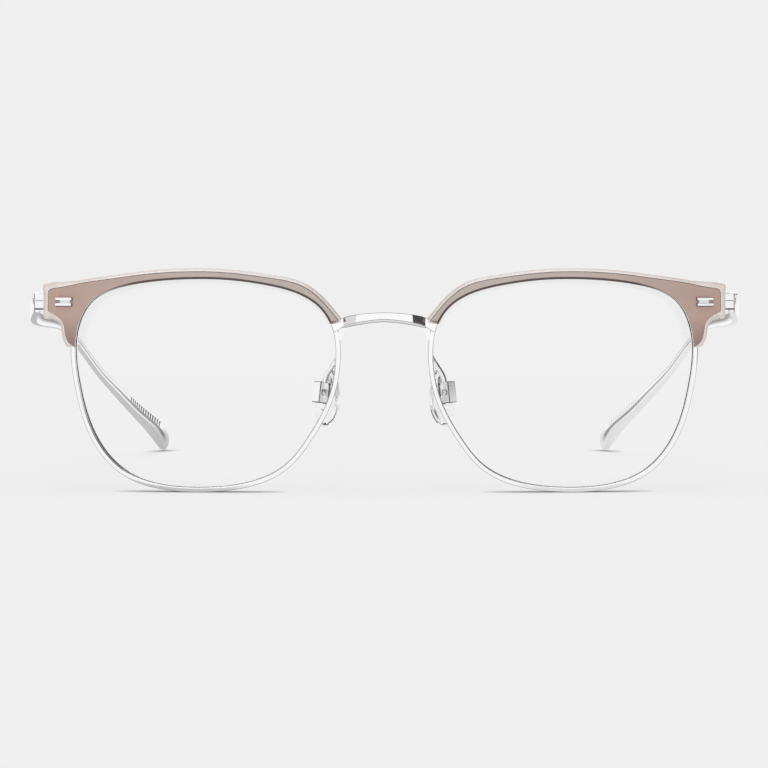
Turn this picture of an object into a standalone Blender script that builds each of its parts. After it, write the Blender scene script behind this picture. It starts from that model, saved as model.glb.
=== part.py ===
"""Browline eyeglass frame: thin metal eye wires with clear lenses, two laminated acetate brow
bars, an arched bridge, silicone nose pads and folding temples.

It stands upright on the lower edges of the eye wires and on the temple tips. +X is the wearer's
left, the front faces -Y, and the floor is Z = 0. Every side piece is worked out once, for +X, and
is mirrored for -X. Until it is placed, a point's Y and Z are its depth behind the lenses and its
height over the lens centre.
"""

import math

import bmesh
import bpy
import numpy as np
from mathutils import Vector

# Lenses and the curved surface that they share
LENS_WIDTH = 0.0538
LENS_HEIGHT = 0.0431
BRIDGE_WIDTH = 0.0200
LENS_THICKNESS = 0.0014
LENS_BEVEL_HEIGHT = 0.00037
LENS_BEVEL_WIDTH = 0.0007
FACE_CURVE_RADIUS = 0.130
WRAP_SLOPE_SHARE = 0.07
JOIN_GAP = 0.00015

# Eye wires
WIRE_WIDTH = 0.00085
WIRE_DEPTH = 0.0022
WIRE_EDGE = 0.00015
GROOVE_DEPTH = 0.00045
GROOVE_WIDTH = 0.0012
GROOVE_FLOOR_SHARE = 0.35
SPLIT_GAP = 0.0003

# Brow bars: a clear base with a taupe layer laminated on its front
BROW_FRONT_WALL = 0.00075
BROW_FACE_THICKNESS = 0.00095
BROW_FACE_EDGE = 0.00018
BROW_TOP_BEVEL = 0.00065
BROW_END_BEVEL = 0.00125
BROW_LOWER_BEVEL = 0.00095
BROW_LIP = 0.00015

# Double-bar rivets on the brow ends
RIVET_LENGTH = 0.0034
RIVET_BAR_HEIGHT = 0.00054
RIVET_BAR_PITCH = 0.00113
RIVET_PROUD = 0.00042
RIVET_WEB = 0.00014
RIVET_SHANK_RADIUS = 0.0006

# Bridge
BRIDGE_THICKNESS = 0.0014
BRIDGE_END_THICKNESS = 0.0010
BRIDGE_FORWARD = 0.0005
BRIDGE_CHAMFER = 0.00035

# End pieces, split into an upper and a lower closing block, and their screws
END_UPPER_HEIGHT = 0.0015
END_LOWER_HEIGHT = 0.0016
END_DEPTH = 0.0022
END_REACH = 0.0019
END_GAP = 0.0003
END_FLARE = 0.0009
END_RETURN = 0.0038
END_RETURN_WIDTH = 0.0027
CLOSING_SCREW_RADIUS = 0.0005
CLOSING_HEAD_RADIUS = 0.00085
CLOSING_HEAD_HEIGHT = 0.0005
CLOSING_SCREW_INSET = 0.0085

# Temple hinges
HINGE_HEIGHT = 0.0029
HINGE_RADIUS = 0.0014
HINGE_AXIS_INSET = 0.0037
HINGE_AXIS_BACK = 0.0006
HINGE_MIDDLE_HEIGHT = 0.0010
HINGE_PLAY = 0.0002
HINGE_LEAF_THICKNESS = 0.0009
HINGE_LEAF_LENGTH = 0.0052
HINGE_SCREW_RADIUS = 0.0006
HINGE_HEAD_RADIUS = 0.00115
HINGE_HEAD_HEIGHT = 0.0005

# Temples
TEMPLE_REACH = 0.1285
TEMPLE_INWARD = 0.0175
TEMPLE_HEIGHT = 0.0064
TEMPLE_THICKNESS = 0.0029
TEMPLE_BUTT_GAP = 0.0002
TEMPLE_EDGE = 0.00022
RIB_PITCH = 0.0016
RIB_DEPTH = 0.00028
RIB_COUNT = 14

# Nose pads, their metal inserts, boxes, screws and guard arms
PAD_HEIGHT = 0.0118
PAD_WIDTH = 0.0067
PAD_THICKNESS = 0.0016
PAD_SIDESTEP = 0.0004
PAD_SPREAD = 0.0133
PAD_SETBACK = 0.0056
PAD_PIVOT_DROP = 0.0020
PAD_DROP_BELOW_PIVOT = 0.0008
INSERT_HEIGHT = 0.0078
INSERT_WIDTH = 0.0036
INSERT_THICKNESS = 0.0004
LUG_HEIGHT = 0.0032
LUG_WIDTH = 0.0010
BOX_HEIGHT = 0.0044
BOX_CHEEK = 0.0005
BOX_WEB = 0.0005
BOX_CHEEK_WALL = 0.00035
BOX_PLAY = 0.0002
PAD_SCREW_RADIUS = 0.00038
PAD_SCREW_HEAD_RADIUS = 0.00068
PAD_SCREW_HEAD_HEIGHT = 0.00035
ARM_RADIUS = 0.00055
ARM_LOOP = 0.0017
ARM_CLIMB = 0.0026

# Places along the outlines, as shares of half the lens width and half the lens height
LENS_OUTLINE_SHARES = (
    (0.05, 1.0), (0.41, 0.974), (0.678, 0.91), (0.868, 0.791), (0.961, 0.612), (1.0, 0.342),
    (0.971, -0.002), (0.878, -0.427), (0.759, -0.679), (0.607, -0.849), (0.379, -0.958),
    (0.0, -0.993), (-0.378, -0.926), (-0.607, -0.781), (-0.788, -0.51), (-0.936, -0.166),
    (-1.0, 0.302), (-0.968, 0.551), (-0.885, 0.719), (-0.725, 0.853), (-0.478, 0.94),
    (-0.164, 0.992),
)
SPLIT_KNOT_SHARE = 3
# Each row: knot of the lens outline below, taupe edge outward and up, share of the flange depth
BROW_ROW_SHARES = (
    (-4.80, -1.026, 0.599, 1.0),
    (-4.0, -0.935, 0.738, 1.0),
    (-3.0, -0.762, 0.922, 1.0),
    (-2.0, -0.494, 1.009, 1.0),
    (-1.0, -0.167, 1.059, 1.0),
    (0.0, 0.052, 1.069, 1.0),
    (1.0, 0.42, 1.048, 1.0),
    (2.0, 0.714, 1.002, 0.7),
    (3.0, 0.985, 0.952, 0.2),
    (3.62, 1.158, 0.912, 0.2),
    (3.84, 1.208, 0.886, 0.2),
    (3.96, 1.223, 0.842, 0.2),
    (4.16, 1.223, 0.712, 0.2),
    (4.28, 1.206, 0.677, 0.2),
    (4.40, 1.149, 0.641, 0.2),
    (4.58, 1.100, 0.585, 0.2),
    (4.78, 1.078, 0.484, 0.2),
    (4.93, 1.066, 0.424, 0.2),
    (4.98, 1.050, 0.387, 0.2),
)
BRIDGE_LAP_SHARE = 0.93
BROW_TOP_ROWS_SHARE = 9
BROW_END_ROWS_SHARE = 12
BROW_BASE_NASAL_SHARE = 0.12
BROW_BASE_TIP_SHARE = 0.45
RIVET_OUTWARD_SHARE = 1.095
RIVET_UP_SHARE = 0.778

# Each row: outward share of half the bridge width, top and foot as shares of half the lens height
BRIDGE_ROW_SHARES = (
    (0.0, 0.678, 0.599),
    (0.25, 0.673, 0.594),
    (0.50, 0.657, 0.578),
    (0.70, 0.636, 0.555),
    (0.83, 0.613, 0.527),
    (0.91, 0.566, 0.480),
    (1.055, 0.548, 0.470),
)

# Each row: shares of the temple's reach, inward drift, drop, height and thickness
TEMPLE_ROW_SHARES = (
    (0.0, 0.0, 0.0, 1.0, 0.45),
    (0.035, -0.072, 0.006, 0.97, 0.47),
    (0.088, -0.055, 0.026, 0.82, 0.45),
    (0.135, 0.009, 0.034, 0.71, 0.43),
    (0.228, 0.105, 0.066, 0.53, 0.41),
    (0.384, 0.197, 0.193, 0.33, 0.41),
    (0.563, 0.294, 0.385, 0.31, 0.48),
    (0.726, 0.420, 0.555, 0.39, 0.62),
    (0.843, 0.597, 0.721, 0.45, 0.80),
    (0.929, 0.751, 0.859, 0.50, 1.0),
    (0.975, 0.860, 0.955, 0.54, 0.88),
    (0.993, 0.905, 0.990, 0.48, 0.62),
    (1.0, 0.925, 1.0, 0.28, 0.30),
)
TEMPLE_TOP_SHARE = 0.25
RIB_START_SHARE = 0.785
RIB_FLAT_SHARE = 0.55

# Angles and counts
PAD_TURN_SHARE = 0.68
PAD_LEAN_SHARE = 0.20
PAD_TAPER_SHARE = 0.12
STEPS_PER_KNOT = 3
ROUND_SIDES = 16
PAD_SIDES = 24
TEMPLE_STEPS = 4
ARM_STEPS = 14
SMOOTH_ANGLE = math.radians(35)

HALF_WIDTH = LENS_WIDTH / 2
HALF_HEIGHT = LENS_HEIGHT / 2
LENS_X = HALF_WIDTH + BRIDGE_WIDTH / 2
WALL_BACK = -WIRE_DEPTH / 2 - JOIN_GAP
LAMINATE = WALL_BACK - BROW_FRONT_WALL
FACE_BACK = LAMINATE - JOIN_GAP
FACE_FRONT = FACE_BACK - BROW_FACE_THICKNESS


def spline(knots, closed=False):
    """A smooth curve through the knots, as a function of the knot number and what lies between.

    It is the cubic spline whose parameter runs at chord length, so uneven knots don't ripple.
    """
    knots = np.array(knots, float)
    count = len(knots)
    chord = np.linalg.norm(np.roll(knots, -1, axis=0) - knots, axis=1)
    matrix = np.zeros((count, count))
    right = np.zeros_like(knots)
    for i in range(count):
        before, after = (i - 1) % count, (i + 1) % count
        if closed or 0 < i < count - 1:
            matrix[i, before] = chord[i]
            matrix[i, i] = 2 * (chord[before] + chord[i])
            matrix[i, after] = chord[before]
            right[i] = 3 * (chord[before] * (knots[after] - knots[i]) / chord[i]
                            + chord[i] * (knots[i] - knots[before]) / chord[before])
        elif i == 0:
            matrix[i, i], matrix[i, 1] = 2, 1
            right[i] = 3 * (knots[1] - knots[0]) / chord[0]
        else:
            matrix[i, i], matrix[i, before] = 2, 1
            right[i] = 3 * (knots[i] - knots[before]) / chord[before]
    slopes = np.linalg.solve(matrix, right)

    def curve(place):
        last = count if closed else count - 1
        first = math.floor(place) if closed else min(max(math.floor(place), 0), last - 1)
        w = place - first
        i, j = first % count, (first + 1) % count
        rise = (slopes[i] * (w**3 - 2 * w**2 + w) + slopes[j] * (w**3 - w**2)) * chord[i]
        return knots[i] * (2 * w**3 - 3 * w**2 + 1) + knots[j] * (3 * w**2 - 2 * w**3) + rise

    return curve


def outward(curve, place):
    """The curve's unit normal to its left, which is outward for a clockwise outline."""
    step = 1 / 64
    along = curve(place + step) - curve(place - step)
    return np.array((-along[1], along[0])) / np.linalg.norm(along)


def face_depth(u, v):
    """Depth of the lens surface at a place outward and up from the lens centre."""
    return (u * u + v * v) / (2 * FACE_CURVE_RADIUS) + u * WRAP_SLOPE_SHARE


def face_point(u, v, back=0.0):
    """The point that lies `back` behind the lens surface, along its normal."""
    normal = Vector((-u / FACE_CURVE_RADIUS - WRAP_SLOPE_SHARE, 1, -v / FACE_CURVE_RADIUS))
    return Vector((LENS_X + u, face_depth(u, v), v)) + normal.normalized() * back


def front_point(u, v, back=0.0):
    """The point seen at this place from straight ahead, as deep as face_point puts it."""
    slope = math.hypot(u / FACE_CURVE_RADIUS + WRAP_SLOPE_SHARE, v / FACE_CURVE_RADIUS)
    return Vector((LENS_X + u, face_depth(u, v) + back * math.hypot(1, slope), v))


lens_outline = spline(
    [(u * HALF_WIDTH, v * HALF_HEIGHT) for u, v in LENS_OUTLINE_SHARES], closed=True)
SPLIT_Z = LENS_OUTLINE_SHARES[SPLIT_KNOT_SHARE][1] * HALF_HEIGHT


def rim_point(knot, offset, back):
    """A point at a knot of the lens outline, moved out by offset and back from the surface."""
    u, v = lens_outline(knot) + outward(lens_outline, knot) * offset
    return face_point(u, v, back)


def loft(rings, loop=False):
    """Points and faces of a skin over closed rings, capped at both ends unless it loops."""
    count, size = len(rings), len(rings[0])
    points = [Vector(point) for ring in rings for point in ring]
    faces = []
    for i in range(count if loop else count - 1):
        here, there = i * size, (i + 1) % count * size
        for j in range(size):
            k = (j + 1) % size
            faces.append((here + j, here + k, there + k, there + j))
    if not loop:
        faces.append(tuple(range(size)))
        faces.append(tuple(range(size * (count - 1), size * count)))
    return points, faces


def prism(outline, foot, top):
    """An outline in X and depth, raised from foot to top."""
    return loft([[(x, y, z) for x, y in outline] for z in (foot, top)])


def circle(radius, sides=ROUND_SIDES):
    turns = [2 * math.pi * k / sides for k in range(sides)]
    return [(radius * math.cos(turn), radius * math.sin(turn)) for turn in turns]


def rod(start, end, radii, sides=ROUND_SIDES):
    """A turned piece from start to end: radii are pairs of length along it and radius."""
    start, end = Vector(start), Vector(end)
    axis = (end - start).normalized()
    across = axis.orthogonal().normalized()
    up = axis.cross(across)
    rings = []
    for length, radius in radii:
        middle = start + axis * length
        rings.append([middle + across * x + up * y for x, y in circle(radius, sides)])
    return loft(rings)


def material(name, colour, roughness, metallic=0.0, alpha=1.0, transmission=0.0):
    made = bpy.data.materials.new(name)
    made.use_nodes = True
    shader = made.node_tree.nodes["Principled BSDF"]
    shader.inputs["Base Color"].default_value = (*colour, 1.0)
    shader.inputs["Roughness"].default_value = roughness
    shader.inputs["Metallic"].default_value = metallic
    shader.inputs["Alpha"].default_value = alpha
    shader.inputs["Transmission Weight"].default_value = transmission
    return made


def mesh_object(name, shape, side, origin):
    """An object from canonical points: mirrored to its side, its origin where it turns."""
    points, faces = shape
    shift = Vector((0, DEPTH_CENTRE, FLOOR))
    place = Vector((side * origin.x, origin.y, origin.z)) - shift
    mesh = bpy.data.meshes.new(name)
    mesh.from_pydata([Vector((side * p.x, p.y, p.z)) - shift - place for p in points], [], faces)
    sheet = bmesh.new()
    sheet.from_mesh(mesh)
    bmesh.ops.recalc_face_normals(sheet, faces=sheet.faces)
    sheet.to_mesh(mesh)
    sheet.free()
    mesh.shade_smooth()
    mesh.set_sharp_from_angle(angle=SMOOTH_ANGLE)
    made = bpy.data.objects.new(name, mesh)
    made.location = place
    bpy.context.collection.objects.link(made)
    return made


def add_part(name, shape, finish, side=1, pivot=None, cuts=(), joins=()):
    """A named piece, with helper shapes cut from it or joined to it."""
    origin = pivot["at"] if pivot else Vector((0, DEPTH_CENTRE, FLOOR))
    made = mesh_object(name, shape, side, origin)
    made.data.materials.append(finish)
    for operation, helpers in (("UNION", joins), ("DIFFERENCE", cuts)):
        for number, helper_shape in enumerate(helpers):
            helper = mesh_object(f"{name}.{operation.lower()}{number}", helper_shape, side, origin)
            helper.hide_render = True
            helper.display_type = "WIRE"
            modifier = made.modifiers.new(helper.name, "BOOLEAN")
            modifier.operation = operation
            modifier.object = helper
            if pivot:
                helper.parent = pivot[side]
                helper.location = (0, 0, 0)
    if pivot:
        made.parent = pivot[side]
        made.location = (0, 0, 0)
    return made


def add_pivot(name, at):
    """Two empties on the joint axis, one for each side, that carry the moving pieces."""
    pivot = {"at": Vector(at)}
    for side, label in SIDES:
        empty = bpy.data.objects.new(f"{name}_{label}", None)
        empty.location = (side * at[0], at[1] - DEPTH_CENTRE, at[2] - FLOOR)
        bpy.context.collection.objects.link(empty)
        pivot[side] = empty
    return pivot


def eye_wire_shape():
    """The grooved wire round the lens, open at the split beside the closing blocks."""
    half, groove = WIRE_DEPTH / 2, GROOVE_WIDTH / 2
    floor = groove * GROOVE_FLOOR_SHARE
    section = (
        (0, -half), (0, -groove), (GROOVE_DEPTH, -floor), (GROOVE_DEPTH, floor), (0, groove),
        (0, half), (WIRE_WIDTH - WIRE_EDGE, half), (WIRE_WIDTH, half - WIRE_EDGE),
        (WIRE_WIDTH, WIRE_EDGE - half), (WIRE_WIDTH - WIRE_EDGE, -half),
    )
    knots = len(LENS_OUTLINE_SHARES)
    around = np.linalg.norm(
        lens_outline(SPLIT_KNOT_SHARE + 0.5) - lens_outline(SPLIT_KNOT_SHARE - 0.5))
    ends = SPLIT_GAP / 2 / around
    places = np.linspace(SPLIT_KNOT_SHARE + ends, SPLIT_KNOT_SHARE + knots - ends,
                         knots * STEPS_PER_KNOT + 1)
    return loft([[rim_point(place, n, b) for n, b in section] for place in places])


def lens_shape():
    """A thin curved lens, its edge a V that stands in the groove of the wire."""
    flat, apex = LENS_THICKNESS / 2, GROOVE_DEPTH - JOIN_GAP
    bevel = LENS_BEVEL_WIDTH / 2
    knots = len(LENS_OUTLINE_SHARES)
    places = np.arange(0, knots, 0.5)
    rings = []
    for share, offset, back in (
        (0.5, -JOIN_GAP, -flat), (1, -JOIN_GAP, -flat), (1, -JOIN_GAP, -bevel),
        (1, min(apex, LENS_BEVEL_HEIGHT - JOIN_GAP), 0), (1, -JOIN_GAP, bevel),
        (1, -JOIN_GAP, flat), (0.5, -JOIN_GAP, flat),
    ):
        ring = []
        for place in places:
            u, v = (lens_outline(place) + outward(lens_outline, place) * offset) * share
            ring.append(face_point(u, v, back))
        rings.append(ring)
    return loft(rings)


def wire_envelope(gap):
    """The eye wire's outer outline and a gap, as a block that passes through the front."""
    knots = len(LENS_OUTLINE_SHARES)
    rings = []
    for back in (-END_RETURN, END_RETURN + END_DEPTH):
        rings.append([rim_point(place, WIRE_WIDTH + gap, back)
                      for place in np.arange(0, knots, 1 / STEPS_PER_KNOT)])
    return loft(rings)


class BrowOutline:
    """The brow bar's outlines, each a function of the row number in BROW_ROW_SHARES."""

    def __init__(self):
        rows = BROW_ROW_SHARES
        self.last = len(rows) - 1
        self.knots = [row[0] for row in rows]
        self.depths = [row[3] for row in rows]
        self.taupe = spline([(row[1] * HALF_WIDTH, row[2] * HALF_HEIGHT) for row in rows])
        self.bevels = [
            BROW_TOP_BEVEL if number < BROW_TOP_ROWS_SHARE
            else BROW_END_BEVEL if number <= BROW_END_ROWS_SHARE
            else BROW_LOWER_BEVEL
            for number in range(len(rows))
        ]

    def between(self, values, row):
        first = min(max(math.floor(row), 0), self.last - 1)
        return values[first] + (values[first + 1] - values[first]) * (row - first)

    def inner(self, row, offset, back):
        return rim_point(self.between(self.knots, row), offset, back)

    def outer(self, row, offset, back):
        place = self.taupe(row) + outward(self.taupe, row) * offset
        return front_point(*place, back)

    def bevel(self, row):
        return self.between(self.bevels, min(max(row, 0), self.last))

    def flange(self, row):
        share = self.between(self.depths, min(max(row, 0), self.last))
        return share * WIRE_DEPTH / 2


def brow_rows(first, last):
    return np.linspace(first, last, round((last - first) * STEPS_PER_KNOT) + 1)


def brow_base_shape(brow):
    """The clear acetate: a front wall over the wire and a flange that runs back above it."""
    rings = []
    for row in brow_rows(-BROW_BASE_NASAL_SHARE, brow.last + BROW_BASE_TIP_SHARE):
        bevel, flange = brow.bevel(row), brow.flange(row)
        rings.append([
            brow.inner(row, BROW_LIP, LAMINATE),
            brow.inner(row, BROW_LIP, WALL_BACK),
            brow.inner(row, WIRE_WIDTH + JOIN_GAP, WALL_BACK),
            brow.inner(row, WIRE_WIDTH + JOIN_GAP, flange),
            brow.outer(row, bevel, flange),
            brow.outer(row, bevel, WALL_BACK),
            brow.outer(row, 0, LAMINATE),
        ])
    return loft(rings)


def brow_face_shape(brow):
    """The taupe layer on the front of the base, its front edge eased."""
    rings = []
    for row in brow_rows(0, brow.last):
        rings.append([
            brow.inner(row, BROW_LIP, FACE_BACK),
            brow.inner(row, BROW_LIP, FACE_FRONT),
            brow.outer(row, -BROW_FACE_EDGE, FACE_FRONT),
            brow.outer(row, 0, FACE_FRONT + BROW_FACE_EDGE),
            brow.outer(row, 0, FACE_BACK),
        ])
    return loft(rings)


def rivet_frame():
    """Centre of the rivet on the brow's front, and its directions along, back and up."""
    u, v = RIVET_OUTWARD_SHARE * HALF_WIDTH, RIVET_UP_SHARE * HALF_HEIGHT
    centre = front_point(u, v, FACE_FRONT)
    back = (face_point(u, v, WIRE_DEPTH) - face_point(u, v)).normalized()
    up = Vector((0, 0, 1))
    along = back.cross(up).normalized()
    return centre, along, back, along.cross(back)


def rivet_shapes():
    """Two polished bars joined by a thin web, and the shank that passes through the brow."""
    centre, along, back, up = rivet_frame()
    bar, pitch, seat = RIVET_BAR_HEIGHT / 2, RIVET_BAR_PITCH / 2, -JOIN_GAP
    profile = [(pitch + bar, seat), (-pitch - bar, seat)]
    for middle in (-pitch, pitch):
        profile += [
            (middle - bar, seat - RIVET_PROUD / 2), (middle - bar / 2, seat - RIVET_PROUD),
            (middle + bar / 2, seat - RIVET_PROUD), (middle + bar, seat - RIVET_PROUD / 2),
        ]
        if middle < 0:
            profile += [(middle + bar, seat - RIVET_WEB), (-middle - bar, seat - RIVET_WEB)]
    bars = loft([[centre + along * reach + up * rise + back * depth for rise, depth in profile]
                 for reach in (-RIVET_LENGTH / 2, RIVET_LENGTH / 2)])
    root, tip = seat - RIVET_WEB / 2, -FACE_FRONT - JOIN_GAP
    shank = rod(centre + back * root, centre + back * tip,
                ((0, RIVET_SHANK_RADIUS), (tip - root, RIVET_SHANK_RADIUS)))
    bore = RIVET_SHANK_RADIUS + JOIN_GAP
    hole = rod(centre - back * RIVET_PROUD, centre + back * tip,
               ((0, bore), (RIVET_PROUD + tip + WIRE_DEPTH, bore)))
    return bars, [shank], hole


def bridge_shape():
    """The arch between the eye wires, its flat ends lapped on their front faces."""
    half_bridge = BRIDGE_WIDTH / 2
    curve = spline([(out * half_bridge, top * HALF_HEIGHT, foot * HALF_HEIGHT)
                    for out, top, foot in BRIDGE_ROW_SHARES])
    last = len(BRIDGE_ROW_SHARES) - 1
    lap = half_bridge * BRIDGE_LAP_SHARE
    rings = []
    for place in np.linspace(-last, last, 2 * last * STEPS_PER_KNOT + 1):
        out, top, foot = curve(abs(place))
        seat = front_point(max(out, lap) - LENS_X, top, WALL_BACK).y
        middle = max(0.0, 1 - (out / half_bridge) ** 2)
        back = seat - BRIDGE_FORWARD * middle
        thickness = BRIDGE_END_THICKNESS + (BRIDGE_THICKNESS - BRIDGE_END_THICKNESS) * middle
        front, x = back - thickness, math.copysign(out, place)
        rings.append([
            (x, back, top), (x, front + BRIDGE_CHAMFER / 2, top),
            (x, front, top - BRIDGE_CHAMFER / 2), (x, front, foot + BRIDGE_CHAMFER),
            (x, front + BRIDGE_CHAMFER, foot), (x, back, foot),
        ])
    return loft(rings)


class EndPiece:
    """Places of the closing blocks, the hinge and the temple's front end, from the brow's end."""

    def __init__(self, brow):
        self.brow_back = brow.flange(brow.last)
        brow_end = max(LENS_X + row[1] * HALF_WIDTH for row in BROW_ROW_SHARES) + BROW_END_BEVEL
        self.inner = LENS_X + LENS_OUTLINE_SHARES[2][0] * HALF_WIDTH
        self.arris = brow_end + END_REACH
        self.rear = self.front_at(self.arris) + END_RETURN
        self.outer = self.arris + END_FLARE
        self.foot = SPLIT_Z - END_LOWER_HEIGHT
        self.top = SPLIT_Z + END_UPPER_HEIGHT
        self.axis = Vector((self.arris - HINGE_AXIS_INSET, self.rear + HINGE_AXIS_BACK,
                            (self.foot + self.top) / 2))
        self.temple_front = self.rear + TEMPLE_BUTT_GAP

    def front_at(self, x):
        """Depth of the block's front, just behind the back of the brow bar."""
        return face_depth(x - LENS_X, SPLIT_Z) + self.brow_back + END_GAP

    def back_at(self, x):
        return self.front_at(x) + END_DEPTH

    def outline(self):
        turn = self.outer - END_RETURN_WIDTH
        return (
            (self.inner, self.front_at(self.inner)),
            ((self.inner + self.arris) / 2, self.front_at((self.inner + self.arris) / 2)),
            (self.arris, self.front_at(self.arris)),
            (self.outer, self.rear),
            (turn, self.rear),
            (turn, self.back_at(turn)),
            ((self.inner + turn) / 2, self.back_at((self.inner + turn) / 2)),
            (self.inner, self.back_at(self.inner)),
        )

    def block(self, foot, top):
        return prism(self.outline(), foot, top)

    def screw_place(self):
        x = self.arris - CLOSING_SCREW_INSET
        return x, (self.front_at(x) + self.back_at(x)) / 2


def hinge_front_shape(end):
    """Two knuckles and the leaf that is brazed to the back of the closing blocks."""
    axis = end.axis
    inner, outer = axis.x - HINGE_RADIUS, axis.x + HINGE_RADIUS
    leaf_back = end.back_at(outer) + JOIN_GAP
    outline = [(inner, end.back_at(inner) + JOIN_GAP), (outer, leaf_back)]
    for turn in np.linspace(0, math.pi, ROUND_SIDES // 2 + 1):
        outline.append((axis.x + HINGE_RADIUS * math.cos(turn),
                        axis.y + HINGE_RADIUS * math.sin(turn)))
    foot, top = axis.z - HINGE_HEIGHT / 2, axis.z + HINGE_HEIGHT / 2
    slot = HINGE_MIDDLE_HEIGHT / 2 + HINGE_PLAY
    clear = HINGE_RADIUS + HINGE_PLAY
    slot_front = max(axis.y - clear, leaf_back + HINGE_PLAY)
    slot_shape = prism(
        ((inner - HINGE_RADIUS, slot_front), (outer + HINGE_RADIUS, slot_front),
         (outer + HINGE_RADIUS, axis.y + 2 * HINGE_RADIUS),
         (inner - HINGE_RADIUS, axis.y + 2 * HINGE_RADIUS)), axis.z - slot, axis.z + slot)
    return prism(outline, foot, top), [slot_shape, hinge_bore(end)]


def hinge_bore(end):
    """The hole for the hinge screw, longer than the hinge at both ends."""
    reach = Vector((0, 0, HINGE_HEIGHT))
    radius = HINGE_SCREW_RADIUS + JOIN_GAP
    return rod(end.axis - reach, end.axis + reach, ((0, radius), (2 * HINGE_HEIGHT, radius)))


def hinge_temple_shape(end, temple):
    """The middle knuckle and its leaf, which is brazed to the temple's inner face."""
    axis = end.axis
    start = end.temple_front + HINGE_PLAY
    leaf = []
    for share in (0, 0.35, 0.7, 1):
        depth = start + share * HINGE_LEAF_LENGTH
        leaf.append((temple.inner_at(depth) - JOIN_GAP, depth))
    leaf_outline = leaf + [(x - HINGE_LEAF_THICKNESS, y) for x, y in reversed(leaf)]
    middle = HINGE_MIDDLE_HEIGHT / 2
    knuckle = [(axis.x + HINGE_RADIUS * math.cos(turn), axis.y + HINGE_RADIUS * math.sin(turn))
               for turn in np.linspace(math.pi / 2, 3 * math.pi / 2, ROUND_SIDES // 2 + 1)]
    neck = leaf[0][0] - HINGE_LEAF_THICKNESS / 2
    knuckle += [(axis.x, start), (neck, start), (neck, axis.y + HINGE_RADIUS)]
    half = HINGE_HEIGHT / 2
    leaf_shape = prism(leaf_outline, axis.z - half, axis.z + half)
    return prism(knuckle, axis.z - middle, axis.z + middle), [leaf_shape], [hinge_bore(end)]


def hinge_screw_shape(end):
    half = HINGE_HEIGHT / 2
    foot = end.axis - Vector((0, 0, half + JOIN_GAP))
    top = end.axis + Vector((0, 0, half + HINGE_HEAD_HEIGHT))
    shank = HINGE_HEIGHT + 2 * JOIN_GAP
    return rod(foot, top, ((0, HINGE_SCREW_RADIUS), (shank, HINGE_SCREW_RADIUS),
                           (shank, HINGE_HEAD_RADIUS),
                           (shank + HINGE_HEAD_HEIGHT, HINGE_HEAD_RADIUS)))


def closing_screw_shapes(end):
    """The screw that draws the two blocks together, and the hole that it runs in."""
    x, y = end.screw_place()
    bore = CLOSING_SCREW_RADIUS + JOIN_GAP
    head, length = CLOSING_HEAD_HEIGHT, end.top - end.foot
    start, stop = Vector((x, y, end.foot - JOIN_GAP - head)), Vector((x, y, end.top))
    screw = rod(start, stop, ((0, CLOSING_HEAD_RADIUS), (head, CLOSING_HEAD_RADIUS),
                              (head, CLOSING_SCREW_RADIUS), (head + length, CLOSING_SCREW_RADIUS)))
    hole = rod(start, stop, ((0, bore), (2 * length, bore)))
    return screw, hole


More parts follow.
